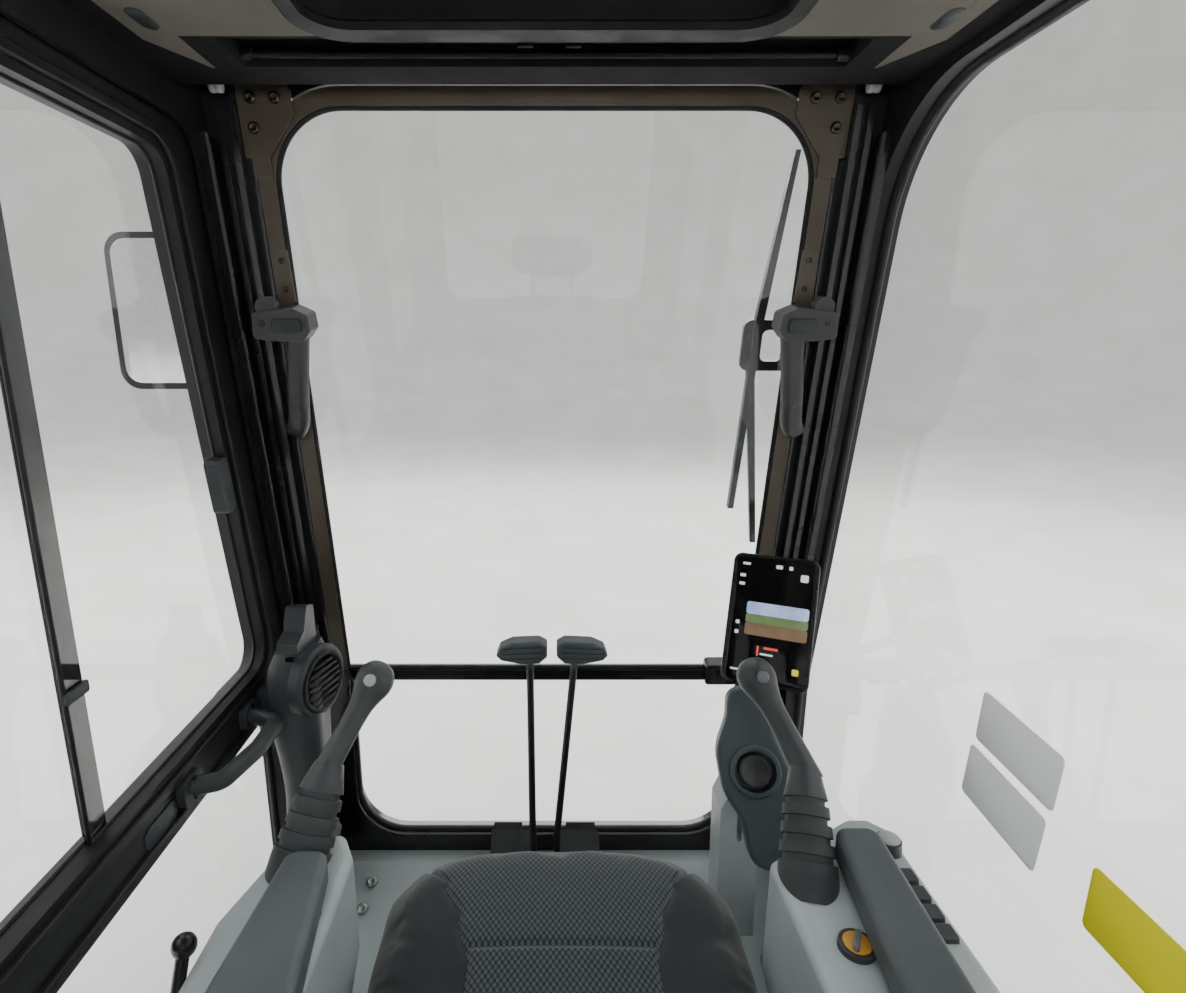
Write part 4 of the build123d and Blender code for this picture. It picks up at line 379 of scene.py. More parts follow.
# Lit areas of the monitor: low tone, high tone, strength
LIT_AREAS = {
    "sky_view": ((0.18, 0.30, 0.62), (0.50, 0.60, 0.80), 1.3),
    "field_view": ((0.09, 0.17, 0.06), (0.20, 0.28, 0.12), 1.0),
    "ground_view": ((0.14, 0.085, 0.045), (0.24, 0.16, 0.09), 1.0),
    "lit_white": ((0.75, 0.78, 0.80), (0.85, 0.87, 0.88), 1.1),
    "lit_red": ((0.75, 0.06, 0.03), (0.85, 0.10, 0.05), 1.2),
    "lit_yellow": ((0.80, 0.62, 0.03), (0.88, 0.72, 0.06), 1.1),
}
FINISHES = {
    **{name: plastic(name, *row) for name, row in PLASTICS.items()},
    **{name: glowing(name, *row) for name, row in LIT_AREAS.items()},
    "black_paint": black_paint("black_paint", (0.20, 0.30), 0.5),
    "satin_paint": black_paint("satin_paint", (0.42, 0.55), 0.1),
    "glass": clear_glass(),
    "seat_cloth": plain_cloth(),
    "weave": dotted_weave(),
    "joystick": two_tone("joystick_finish", 0.700, ((0.035, 0.042, 0.044), (0.056, 0.063, 0.065)),
                         ((0.042, 0.046, 0.049), (0.062, 0.067, 0.071)), (0.60, 0.42)),
    "lever": two_tone("lever_finish", 0.695, ((0.008, 0.008, 0.009), (0.014, 0.014, 0.015)),
                      ((0.046, 0.056, 0.060), (0.068, 0.080, 0.085)), (0.35, 0.50)),
    "zinc": brushed_metal("zinc", (0.42, 0.42, 0.42), (0.58, 0.58, 0.57)),
    "dark_bolt": brushed_metal("dark_bolt", (0.030, 0.030, 0.031), (0.060, 0.060, 0.061), (0.3, 0.45)),
    "plate_bolt": brushed_metal("plate_bolt", (0.10, 0.092, 0.078), (0.16, 0.148, 0.128), (0.35, 0.5)),
    "mirror_glass": silvered(),
}
# Finishes of the record's slots whose name differs
SLOT_FINISH = {"mirror": "mirror_back", "screen": "screen_shell"}
FINISH_OF = {"left_joystick": "joystick", "right_joystick": "joystick", "travel_lever_left": "lever",
             "travel_lever_right": "lever", "right_pod": "pod_plastic", "left_armrest": "armrest",
             "right_armrest": "armrest", "window_latches": "latch_plastic", "hatch_latch": "dark_bolt",
             "header_trim": "matt_trim",
             **dict.fromkeys(("hatch_frame", "shade_rod", "door_frame", "left_side_frame", "right_side_frame"),
                             "satin_paint")}


def dress_nodes():
    """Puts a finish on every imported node: its own where FINISH_OF names one, or else its slot's."""
    slot_of = {row["node"]: row["material_slot"] for row in frame["record"]["subparts"]}
    for name, node in NODES.items():
        slot = slot_of[name]
        finish = FINISHES[FINISH_OF.get(name) or SLOT_FINISH.get(slot, slot)]
        node.data.materials.clear()
        node.data.materials.append(finish)


# Shapes


def add_piece(name, shape, body, finish, slot=None, smooth=True):
    """A mesh piece on a body, with its finish. The slot argument is not used."""
    points, faces = shape
    slot = slot or finish
    mesh = bpy.data.meshes.new(name)
    mesh.from_pydata([tuple(point) for point in points], [], faces)
    mesh.update()
    piece = add_object(name, mesh)
    mesh.materials.append(FINISHES[finish])
    for polygon in mesh.polygons:
        polygon.use_smooth = smooth
    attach(piece, body)


def add_bead(name, points, radius, body):
    """A round rubber bead along a closed line of points."""
    curve = bpy.data.curves.new(name, "CURVE")
    curve.dimensions = "3D"
    curve.bevel_depth = radius
    curve.bevel_resolution = 3
    line = curve.splines.new("POLY")
    line.points.add(len(points) - 1)
    for place, point in zip(line.points, points):
        place.co = (*point, 1)
    line.use_cyclic_u = True
    line.use_smooth = True
    curve.materials.append(FINISHES["rubber"])
    piece = add_object(name, curve)
    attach(piece, body)


def facing(normal, up=UP):
    """A turn that takes +Z to a normal, with +Y as near to up as it can be."""
    normal = Vector(normal).normalized()
    across = up.cross(normal)
    if across.length < 1e-4:
        across = RIGHT.copy()
    across.normalize()
    return Matrix((across, normal.cross(across), normal)).transposed()


def ring_faces(rings, steps):
    """Quads between rings of points, and a cap on the first and the last ring."""
    faces = [(ring * steps + step, ring * steps + (step + 1) % steps,
              (ring + 1) * steps + (step + 1) % steps, (ring + 1) * steps + step)
             for ring in range(rings - 1) for step in range(steps)]
    return faces + [tuple(reversed(range(steps))), tuple(range((rings - 1) * steps, rings * steps))]


def spin(profile, steps=24):
    """Points and faces of a profile of radius and height turned round +Z and capped."""
    points = [Vector((radius * cos(2 * pi * step / steps), radius * sin(2 * pi * step / steps), height))
              for radius, height in profile for step in range(steps)]
    return points, ring_faces(len(profile), steps)


def join_shapes(shapes):
    """One list of points and faces from several."""
    points, faces = [], []
    for more_points, more_faces in shapes:
        start = len(points)
        points += more_points
        faces += [tuple(start + index for index in face) for face in more_faces]
    return points, faces


def moved(shape, at, normal, up=UP):
    """A shape with its +Z turned to a normal and its origin put at a place."""
    turn = facing(normal, up)
    return [Vector(at) + turn @ point for point in shape[0]], shape[1]


def rounded_outline(width, height, radius, steps=5):
    """Corner arcs of a rounded rectangle, anticlockwise from the right."""
    points = []
    for quarter, (side, end) in enumerate(((1, 1), (-1, 1), (-1, -1), (1, -1))):
        centre = Vector((side * (width / 2 - radius), end * (height / 2 - radius)))
        for step in range(steps + 1):
            turn = pi / 2 * (quarter + step / steps)
            points.append(centre + Vector((radius * cos(turn), radius * sin(turn))))
    return points


def slab(outline, thick, edge=0.0):
    """A plate of an outline with a chamfered top edge, its back on z = 0."""
    middle = sum(outline, Vector((0, 0))) / len(outline)
    rings = [(0.0, 0.0), (0.0, thick - edge)]
    if edge:
        rings += [(edge * 0.3, thick - edge * 0.3), (edge, thick)]
    points = []
    for inset, height in rings:
        for point in outline:
            out = (point - middle).normalized()
            points.append(Vector((*(point - out * inset), height)))
    return points, ring_faces(len(rings), len(outline))


def bolt_shape(radius):
    """A hexagon head on a round washer."""
    washer = spin([(radius * 1.5, 0.0), (radius * 1.5, radius * 0.2), (radius * 1.4, radius * 0.28)], 20)
    head = spin([(radius, radius * 0.25), (radius, radius * 0.85), (radius * 0.8, radius)], 6)
    return join_shapes([washer, head])


def cap_screw_shape(radius):
    """A domed round head with a recess."""
    profile = ((1.0, 0.0), (1.0, 0.35), (0.8, 0.65), (0.45, 0.72), (0.4, 0.45), (0.15, 0.4))
    return spin([(radius * out, radius * height) for out, height in profile], 18)


def rim(node, normal):
    """The outline of a pane on one of its faces, as points in order."""
    counts = {}
    for polygon in NODES[node].data.polygons:
        if polygon.normal.dot(normal) > 0.9:
            corners = [tuple(round(value, 5) for value in NODES[node].data.vertices[index].co)
                       for index in polygon.vertices]
            for start, end in zip(corners, corners[1:] + corners[:1]):
                pair = frozenset((start, end))
                counts[pair] = counts.get(pair, 0) + 1
    beside = {}
    for pair, count in counts.items():
        if count == 1:
            start, end = pair
            beside.setdefault(start, []).append(end)
            beside.setdefault(end, []).append(start)
    loop = [next(iter(beside))]
    while True:
        following = [point for point in beside[loop[-1]] if point not in loop[-2:]]
        if not following or following[0] == loop[0]:
            return [Vector(point) for point in loop]
        loop.append(following[0])


# Rubber seals: pane, the way its inner face looks, bead radius on its inner and its outer face, 0 for none
SEALS = (
    ("right_glass", LEFT, 0.0070, 0.0060),
    ("left_quarter_glass", RIGHT, 0.0070, 0.0060),
    ("right_quarter_glass", LEFT, 0.0070, 0.0060),
    ("rear_glass", FORWARD, 0.0070, 0.0060),
    ("lower_windshield", BACK, 0.0065, 0.0060),
    ("upper_windshield", SCREEN_NORMAL, 0.0055, 0.0040),
    ("door_lower_glass", RIGHT, 0.0060, 0.0050),
    ("door_front_pane", RIGHT, 0.0030, 0),
    ("door_rear_pane", RIGHT, 0.0030, 0))


def make_seals():
    """A round bead round each pane."""
    for pane, inward, inner_radius, outer_radius in SEALS:
        for face, normal, radius in (("inner", inward, inner_radius), ("outer", -inward, outer_radius)):
            if radius:
                add_bead(f"seal_{pane}_{face}", rim(pane, normal), radius, BODY_OF[pane])


# The raising window

ROLLER_AT = (0.444, 0.694, 1.602)
ROLLER_PROFILE = ((0.0055, -0.008), (0.009, -0.0075), (0.009, -0.002), (0.0075, 0.0), (0.009, 0.002), (0.009, 0.0075),
                  (0.0055, 0.008))
# Screws on the window frame: head radius, distance from the inner wall, height, distance inside the screen plane
WINDOW_SCREWS = (
    (0.0078, 0.068, 1.594, 0.0043), (0.0078, 0.102, 1.594, 0.0043), (0.0078, 0.068, 1.558, 0.0043),
    (0.0042, 0.077, 1.385, 0.0033), (0.0042, 0.077, 1.345, 0.0033))
# Latch body's front: the release pad's and the pin's distance from the inner wall and height, and how proud it is
LATCH_PAD_AT = (0.092, 1.300)
LATCH_PIN_AT = (0.055, 1.303)
LATCH_PROUD = 0.0595


def side_name(side):
    return "left" if side < 0 else "right"


def on_pillar(shape, side, inset, height, proud):
    """A shape laid on the screen plane at a distance from a side's inner wall."""
    return moved(shape, on_screen(side * (-INNER_X - inset), height, proud), SCREEN_NORMAL, SCREEN_UP)


def make_window_rollers():
    """White rollers in their guides at the top of both pillars."""
    wheel = spin(ROLLER_PROFILE, 28)
    x, y, z = ROLLER_AT
    for side in SIDES:
        add_piece(f"window_roller_{side_name(side)}", moved(wheel, (side * x, y, z), RIGHT * side), "root",
                  "roller", "bracket_paint")


def make_window_bolts():
    """Corner plate bolts and striker screws."""
    shapes = [on_pillar(cap_screw_shape(radius), side, *place) for side in SIDES for radius, *place in WINDOW_SCREWS]
    add_piece("window_bolts", join_shapes(shapes), "root", "plate_bolt", "bracket_paint")


def make_latch_details():
    """A release pad and a pin on each latch body."""
    pad = slab(rounded_outline(0.044, 0.020, 0.006), 0.005, 0.0015)
    for side in SIDES:
        shapes = [on_pillar(pad, side, *LATCH_PAD_AT, LATCH_PROUD),
                  on_pillar(cap_screw_shape(0.005), side, *LATCH_PIN_AT, LATCH_PROUD)]
        add_piece(f"latch_pad_{side_name(side)}", join_shapes(shapes), "root", "dark_plastic")


CHANNEL_WIDTH = 0.030
CHANNEL_INSET = 0.006
PULL_UP = 0.17


def make_door_pane_seal():
    """The dark channel where the two sliding door panes overlap, with its glass pull."""
    front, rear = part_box("door_front_pane"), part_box("door_rear_pane")
    middle = (front[0][1] + rear[1][1]) / 2
    low, high = rear[0][2] + CHANNEL_INSET, rear[1][2] - CHANNEL_INSET
    strip = slab(rounded_outline(CHANNEL_WIDTH, high - low, 0.004), 0.0028, 0.001)
    at = (rear[1][0] + HAIR, middle, (low + high) / 2)
    add_piece("pane_channel", moved(strip, at, RIGHT), "door", "rubber")
    clip = slab(rounded_outline(0.036, 0.014, 0.003), 0.004, 0.001)
    at = (front[1][0], middle, low + PULL_UP)
    add_piece("pane_clip", moved(clip, at, RIGHT), "door", "dark_plastic")


# The monitor

MONITOR_GLASS = (0.126, 0.202)
MONITOR_GLASS_THICK = 0.0012
# Lit areas: finish, centre from the face's middle, size
MONITOR_AREAS = (
    ("sky_view", (0.010, 0.016), (0.096, 0.020)), ("field_view", (0.010, -0.001), (0.096, 0.014)),
    ("ground_view", (0.010, -0.018), (0.096, 0.020)),
    ("lit_white", (-0.046, 0.088), (0.012, 0.004)), ("lit_white", (0.006, 0.088), (0.010, 0.006)),
    ("lit_white", (0.024, 0.088), (0.006, 0.006)), ("lit_white", (0.046, 0.074), (0.012, 0.012)),
    ("lit_white", (-0.050, 0.068), (0.009, 0.005)), ("lit_white", (-0.050, 0.054), (0.009, 0.005)),
    ("lit_white", (-0.050, -0.010), (0.006, 0.006)), ("lit_white", (-0.050, -0.026), (0.006, 0.006)),
    ("lit_white", (0.000, -0.056), (0.020, 0.003)), ("lit_red", (0.006, -0.046), (0.022, 0.004)),
    ("lit_red", (-0.014, -0.052), (0.003, 0.016)), ("lit_yellow", (0.046, -0.076), (0.010, 0.010)),
    ("lit_white", (-0.046, -0.086), (0.014, 0.003)), ("lit_white", (-0.010, -0.086), (0.014, 0.003)))


def make_monitor_face():
    """Dark glass over the shell, and a generic picture made of plain lit areas."""
    node = NODES["monitor"].data
    face = max((p for p in node.polygons if p.normal.y < -0.6), key=lambda p: p.area)
    normal = face.normal.copy()
    front = [v.co for v in node.vertices if abs((v.co - face.center).dot(normal)) < 0.0004]
    centre = sum(front, Vector()) / len(front)
    glass = slab(rounded_outline(*MONITOR_GLASS, 0.010), MONITOR_GLASS_THICK, 0.0006)
    add_piece("monitor_glass", moved(glass, centre, normal), "root", "display", "screen")
    turn = facing(normal)
    by_finish = {}
    for finish, (x, y), (width, height) in MONITOR_AREAS:
        tile = slab(rounded_outline(width, height, min(width, height) * 0.2), 0.0003)
        at = centre + turn @ Vector((x, y, MONITOR_GLASS_THICK))
        by_finish.setdefault(finish, []).append(moved(tile, at, normal))
    for finish, shapes in by_finish.items():
        add_piece(f"monitor_{finish}", join_shapes(shapes), "root", finish, "screen", smooth=False)


# Consoles and controls

DIAL_RADIUS = 0.020
DIAL_HIGH = 0.0072
KNOB_RADIUS = 0.017
OBLONG_AT = (-0.268, 0.320)
GRIP_WAY = Vector((0.5, 0.86, 0.0))
HEAD_DOWN = 0.028
HEAD_BACK = 0.004
HEAD_RADIUS = 0.0285
BUTTON_WAY = Vector((0, -0.86, 0.5))
BUTTON_PROFILE = ((0.0085, 0.0), (0.0085, 0.0035), (0.0070, 0.0050), (0.0030, 0.0054))


def make_joystick_details():
    """A round button towards the operator on each head."""
    for name, body, finish in (("left", "console_left", "pale_button"), ("right", "seat", "button")):
        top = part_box(f"{name}_joystick")[1][2]
        crown = [v.co for v in NODES[f"{name}_joystick"].data.vertices if v.co.z > top - 0.003]
        middle = sum(crown, Vector()) / len(crown)
        head = Vector((middle.x, middle.y - HEAD_BACK, top - HEAD_DOWN))
        add_piece(f"{name}_thumb_button", moved(spin(BUTTON_PROFILE), head + BUTTON_WAY * HEAD_RADIUS, BUTTON_WAY),
                  body, finish, "dark_plastic")


def make_console_details():
    """An oblong button on the left console, and the tops of the dial and the knob on the right one."""
    oblong = slab(rounded_outline(0.020, 0.050, 0.008), 0.004, 0.0015)
    at = (*OBLONG_AT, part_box("left_console")[1][2])
    add_piece("console_oblong_button", moved(oblong, at, UP, FORWARD), "console_left", "dark_plastic")
    low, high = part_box("console_controls")
    dial_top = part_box("right_console")[1][2] + DIAL_HIGH
    dial_at = (low[0] + DIAL_RADIUS, low[1] + DIAL_RADIUS, dial_top)
    face = spin([(0.0150, 0.0), (0.0150, 0.0010), (0.0140, 0.0018), (0.0010, 0.0018)], 36)
    add_piece("dial_face", moved(face, dial_at, UP), "seat", "dial", "dark_plastic")
    grip = slab(rounded_outline(0.007, 0.028, 0.003), 0.007, 0.0015)
    add_piece("dial_grip", moved(grip, dial_at, UP, GRIP_WAY), "seat", "button", "dark_plastic")
    knob_at = (high[0] - KNOB_RADIUS, high[1] - KNOB_RADIUS, high[2])
    dome = spin([(0.0135, 0.0), (0.0130, 0.0025), (0.0105, 0.0045), (0.0060, 0.0058), (0.0010, 0.0062)], 36)
    add_piece("knob_top", moved(dome, knob_at, UP), "seat", "pale_button", "dark_plastic")


# Soft goods


def pillow_grid(half, power, cuts):
    """A closed rounded box of even quads: each point of a cube's skin pulled to a super-ellipsoid."""
    made = bmesh.new()
    bmesh.ops.create_cube(made, size=2.0)
    bmesh.ops.subdivide_edges(made, edges=made.edges, cuts=cuts, use_grid_fill=True)
    for vertex in made.verts:
        reach = max(abs(value) for value in vertex.co)
        norm = sum(abs(value) ** power for value in vertex.co) ** (1 / power)
        vertex.co *= reach / norm
        vertex.co = Vector((vertex.co.x * half[0], vertex.co.y * half[1], vertex.co.z * half[2]))
    return made


SWELL_FRAMES = 20
PRESSURE = 4.0
SEAM_DEPTH = 0.0045
SEAM_WIDTH = 0.0045


def swell(piece, cap):
    """A short inflation under Cloth, each point's move capped, applied to the mesh."""
    scene = bpy.context.scene
    start = [vertex.co.copy() for vertex in piece.data.vertices]
    cloth = piece.modifiers.new("cloth", "CLOTH")
    cloth.settings.use_pressure = True
    cloth.settings.uniform_pressure_force = PRESSURE
    cloth.settings.effector_weights.gravity = 0
    for number in range(SWELL_FRAMES):
        scene.frame_set(number + 1)
    shown = piece.evaluated_get(bpy.context.evaluated_depsgraph_get())
    ended = [vertex.co.copy() for vertex in shown.data.vertices]
    piece.modifiers.remove(cloth)
    scene.frame_set(1)
    for vertex, before, after in zip(piece.data.vertices, start, ended):
        move = after - before
        if move.length > cap:
            move *= cap / move.length
        vertex.co = before + move
    piece.data.update()


def soften(piece, voxel, cap):
    """Even quads, inflation, then one level of subdivision."""
    remesh = piece.modifiers.new("remesh", "REMESH")
    remesh.mode = "VOXEL"
    remesh.voxel_size = voxel
    apply_modifiers(piece)
    swell(piece, cap)
    smooth = piece.modifiers.new("smooth", "SUBSURF")
    smooth.levels = smooth.render_levels = 1
    apply_modifiers(piece)


def apply_modifiers(piece):
    """Gives a piece the mesh that its modifiers show."""
    shown = piece.evaluated_get(bpy.context.evaluated_depsgraph_get())
    finished = bpy.data.meshes.new_from_object(shown)
    piece.modifiers.clear()
    old = piece.data
    piece.data = finished
    bpy.data.meshes.remove(old)


def sew(piece, seams):
    """Sinks the surface along seams, each a function that gives a point's distance from it."""
    piece.data.update()
    sinks = []
    for vertex in piece.data.vertices:
        near = min(seam(vertex.co) for seam in seams)
        sinks.append(vertex.normal * (SEAM_DEPTH * exp(-(near / SEAM_WIDTH) ** 2)))
    for vertex, sink in zip(piece.data.vertices, sinks):
        vertex.co -= sink
    piece.data.update()


def smooth_step(value, low, high):
    """0 below low, 1 above high, and an even rise between them."""
    share = min(max((value - low) / (high - low), 0.0), 1.0)
    return share * share * (3 - 2 * share)


def make_pad(node, body, made, turn, at, voxel, cap, seams, panel):
    """A padded piece in a node's place: rough form, inflation, seams, then woven centre panel and plain bolsters."""
    mesh = bpy.data.meshes.new(f"{node}_pad")
    made.to_mesh(mesh)
    made.free()
    piece = add_object(f"{node}_pad", mesh)
    soften(piece, voxel, cap)
    sew(piece, seams)
    mesh = piece.data
    mesh.materials.clear()
    mesh.materials.append(FINISHES["seat_cloth"])
    mesh.materials.append(FINISHES["weave"])
    for polygon in mesh.polygons:
        polygon.use_smooth = True
        polygon.material_index = 1 if panel(polygon.center, polygon.normal) else 0
    piece.matrix_world = Matrix.Translation(at) @ turn.to_4x4()
    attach(piece, body)
    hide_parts(node)


# Half width of the cushion's woven panel along its length, in metres from its middle
CUSHION_PANEL = ((-0.30, 0.118), (0.01, 0.118), (0.08, 0.135), (0.14, 0.160), (0.195, 0.195), (0.30, 0.25))
# Share of the cushion's half width along its length, from -1 at the back to 1 at the front
CUSHION_WAIST = ((-1.0, 0.78), (-0.77, 0.79), (-0.49, 0.94), (0.15, 1.0), (0.57, 1.0), (0.79, 0.94), (0.94, 0.82),
                 (1.0, 0.74))


def panel_half(y, table):
    """Half width of a sewn panel at a place along its length."""
    for (start, low), (end, high) in zip(table, table[1:]):
        if y <= end:
            return low + (high - low) * smooth_step(y, start, end)
    return table[-1][1]


# Room that each pad leaves inside its solid for the inflation
CUSHION_INSET = Vector((0.007, 0.006, 0.008))
BACK_INSET = Vector((0.014, 0.012, 0.012))
HEADREST_INSET = Vector((0.010, 0.010, 0.008))
CROSS_SEAM_Y = 0.389


def make_seat_cushion():
    """The cushion: wide at the hips, rounded at the front, with two long seams and one cross seam."""
    low, high = (Vector(corner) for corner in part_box("seat_cushion"))
    middle, half = (low + high) / 2, (high - low) / 2
    made = pillow_grid(half - CUSHION_INSET, 5.0, 26)
    for vertex in made.verts:
        front = max(vertex.co.y / half.y, 0.0)
        vertex.co.x *= panel_half(vertex.co.y / (half.y - CUSHION_INSET.y), CUSHION_WAIST)
        crown = 1 - 0.35 * (vertex.co.x / half.x) ** 2
        if vertex.co.z > 0:
            vertex.co.z *= crown * (1 - 0.25 * front ** 4) + 0.10
        else:
            vertex.co.z *= 0.97
    cross = CROSS_SEAM_Y - middle.y

    def side_seam(point):
        return abs(abs(point.x) - panel_half(point.y, CUSHION_PANEL)) if point.z > -0.01 else 1.0

    def cross_seam(point):
        inside = abs(point.x) < panel_half(point.y, CUSHION_PANEL)
        return abs(point.y - cross) if inside and point.z > 0 else 1.0

    def panel(centre, normal):
        return normal.z > 0.1 and abs(centre.x) < panel_half(centre.y, CUSHION_PANEL)

    make_pad("seat_cushion", "seat", made, Matrix.Identity(3), middle, 0.0065, 0.012, (side_seam, cross_seam), panel)


BACK_LEAN = radians(35)
BACK_TURN = facing(Vector((0, cos(BACK_LEAN), sin(BACK_LEAN))))
RECLINE_YZ = (0.060, 0.560)


def own_extent(node, turn, above=None):
    """The middle and half size of a node in a turned frame."""
    inverse = turn.inverted()
    points = [inverse @ vertex.co for vertex in NODES[node].data.vertices]
    if above is not None:
        points = [point for point in points if point.y > above]
    low = Vector([min(point[axis] for point in points) for axis in range(3)])
    high = Vector([max(point[axis] for point in points) for axis in range(3)])
    return turn @ ((low + high) / 2), (high - low) / 2


def make_seat_back():
    """Backrest: a waisted pad with raised side bolsters and two cross channels, over its hard shell."""
    centre, half = own_extent("seat_back", BACK_TURN)
    made = pillow_grid(half - BACK_INSET, 5.0, 26)
    for vertex in made.verts:
        up = vertex.co.y / half.y
        vertex.co.x *= 1 - 0.10 * max(up, 0) ** 2 - 0.05 * (1 - abs(up))
        if vertex.co.z > 0:
            hollow = smooth_step(abs(vertex.co.x) / half.x, 0.45, 0.8)
            vertex.co.z *= 0.72 + 0.28 * hollow
    width = half.x * 0.55

    def side_seam(point):
        return abs(abs(point.x) - width) if point.z > 0 else 1.0

    def cross_seam(point):
        inside = abs(point.x) < width and point.z > 0
        return min(abs(point.y + half.y * 0.28), abs(point.y - half.y * 0.38)) if inside else 1.0

    def panel(around, normal):
        return normal.z > 0.3 and abs(around.x) < width

    make_pad("seat_back", "backrest", made, BACK_TURN, centre, 0.0065, 0.012, (side_seam, cross_seam), panel)
    make_back_brackets()


def make_back_brackets():
    """The recline plates and the hard shell that the backrest's pad sits on."""
    centre, half = own_extent("seat_back", BACK_TURN)
    shell = slab(rounded_outline(2 * half.x - 0.10, 2 * half.y - 0.10, 0.05, 8), 0.006, 0.003)
    back = -(BACK_TURN @ UP)
    at = centre + back * (half.z - 0.010)
    add_piece("seat_back_shell", moved(shell, at, back), "backrest", "dark_plastic")
    pivot_y, pivot_z = RECLINE_YZ
    disc = spin([(0.024, -0.008), (0.024, 0.008)], 40)
    shapes = []
    for side in SIDES:
        x = centre.x + side * (half.x - 0.008)
        shapes.append(moved(disc, (x, pivot_y, pivot_z), RIGHT))
        link = slab(rounded_outline(0.060, 0.190, 0.020, 6), 0.012, 0.002)
        shapes.append(moved(link, (x - 0.006, pivot_y - 0.066, pivot_z + 0.066), RIGHT, Vector((0, -0.7, 0.7))))
    add_piece("recline_brackets", join_shapes(shapes), "backrest", "black_paint")


POST_HIGH = 0.028
POST_X = 0.06


def make_headrest():
    """The headrest's pad, a little hollow across, on two posts."""
    whole, whole_half = own_extent("headrest", BACK_TURN)
    posts_top = (BACK_TURN.inverted() @ whole).y - whole_half.y + POST_HIGH
    centre, half = own_extent("headrest", BACK_TURN, posts_top)
    made = pillow_grid(half - HEADREST_INSET, 4.0, 18)
    for vertex in made.verts:
        vertex.co.z += 0.008 * (vertex.co.x / half.x) ** 2

    def border(point):
        return abs(abs(point.x) - half.x * 0.72) if point.z > 0 else 1.0

    def panel(around, normal):
        return normal.z > 0.3 and abs(around.x) < half.x * 0.72

    make_pad("headrest", "backrest", made, BACK_TURN, centre, 0.006, 0.009, (border,), panel)
    post = spin([(0.006, -0.006), (0.006, 0.040)], 16)
    upward = BACK_TURN @ FORWARD
    start = centre - upward * (half.y + 0.034)
    posts = [moved(post, start + RIGHT * (side * POST_X), upward) for side in SIDES]
    add_piece("headrest_posts", join_shapes(posts), "backrest", "zinc", "black_paint")


FOLDS = 7
FOLD_DEPTH = 0.330


def make_bellows():
    """Folds of the suspension cover round the pedestal."""
    low, high = (Vector(corner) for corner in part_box("seat_pedestal"))
    centre = (low + high) / 2
    start, end = low.z + 0.022, high.z - 0.024
    rise = (end - start) / FOLDS
    for fold in range(FOLDS):
        ring = [Vector((centre.x + point.x, centre.y + point.y, start + rise * (fold + 0.5)))
                for point in rounded_outline(high.x - low.x - 0.040, FOLD_DEPTH, 0.04, 6)]
        add_bead(f"bellows_fold_{fold + 1}", ring, rise * 0.48, "root")


# Plates, labels and small fittings


PLATE_THICK = 0.0012
PLATE_GAP = 0.0003
# Blank plates on the right window: name, corners (y, z) from the upper front one round, finish
PLATES = (
    ("blank_plate_upper", ((0.385, 0.880), (0.262, 0.872), (0.266, 0.812), (0.385, 0.816)), "white_plate"),
    ("blank_plate_lower", ((0.391, 0.807), (0.270, 0.799), (0.275, 0.733), (0.396, 0.742)), "white_plate"),
    ("blank_yellow_label", ((0.210, 0.800), (0.110, 0.800), (0.112, 0.735), (0.214, 0.735)), "yellow_plate"))


def make_plates():
    """Two blank white plates and one blank yellow label on the right window's inner face."""
    for name, places, finish in PLATES:
        corners = [Vector((RIGHT_PANE_X - PLATE_GAP, y, z)) for y, z in places]
        across = (corners[1] - corners[0] + corners[2] - corners[3]) / 2
        up = (corners[0] - corners[3] + corners[1] - corners[2]) / 2
        centre = sum(corners, Vector()) / 4
        points, faces = slab(rounded_outline(across.length, up.length, 0.006), PLATE_THICK, PLATE_THICK * 0.4)
        x_way = across.normalized()
        turn = Matrix((x_way, LEFT.cross(x_way), LEFT)).transposed()
        add_piece(name, ([centre + turn @ point for point in points], faces), "root", finish, "screen")


BELT_PLUG_YZ = (0.425, 0.668)
MIRROR_RIM = 0.011


def make_belt_plug():
    """The flat oval plug in the door's belt."""
    plug = slab(rounded_outline(0.070, 0.028, 0.0135, 8), 0.0025, 0.001)
    at = (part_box("door_grab_handle")[0][0] + HAIR, *BELT_PLUG_YZ)
    add_piece("belt_plug", moved(plug, at, RIGHT), "door", "dark_plastic")


def make_mirror_glass():
    """The silvered glass inside the mirror's rim."""
    low, high = (Vector(corner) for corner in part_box("mirror"))
    size = high - low
    glass = slab(rounded_outline(size.x - 2 * MIRROR_RIM, size.z - 2 * MIRROR_RIM, 0.028, 8), 0.0012, 0.0005)
    at = ((low.x + high.x) / 2, low.y - HAIR, (low.z + high.z) / 2)
    add_piece("mirror_glass", moved(glass, at, BACK), "root", "mirror_glass", "mirror")


VENT_AT = Vector((-0.371, 0.712, 0.712))
VENT_NORMAL = Vector((0.95, -0.3, 0)).normalized()
VENT_RADIUS = 0.042
VENT_RING = ((0.052, 0.0), (0.052, 0.003), (0.047, 0.004), (0.044, 0.002), (0.044, 0.0))
SLAT_PITCH = 0.011
SLATS_EACH_WAY = 3
POD_AT = Vector((0.356, 0.690, 0.557))
POD_NORMAL = Vector((-0.151, -0.903, 0.402)).normalized()
POD_DISC = ((0.027, 0.0), (0.027, 0.021), (0.0250, 0.0235), (0.0215, 0.0240), (0.0205, 0.0225), (0.001, 0.0225))
POD_DISC_SUNK = 0.0195


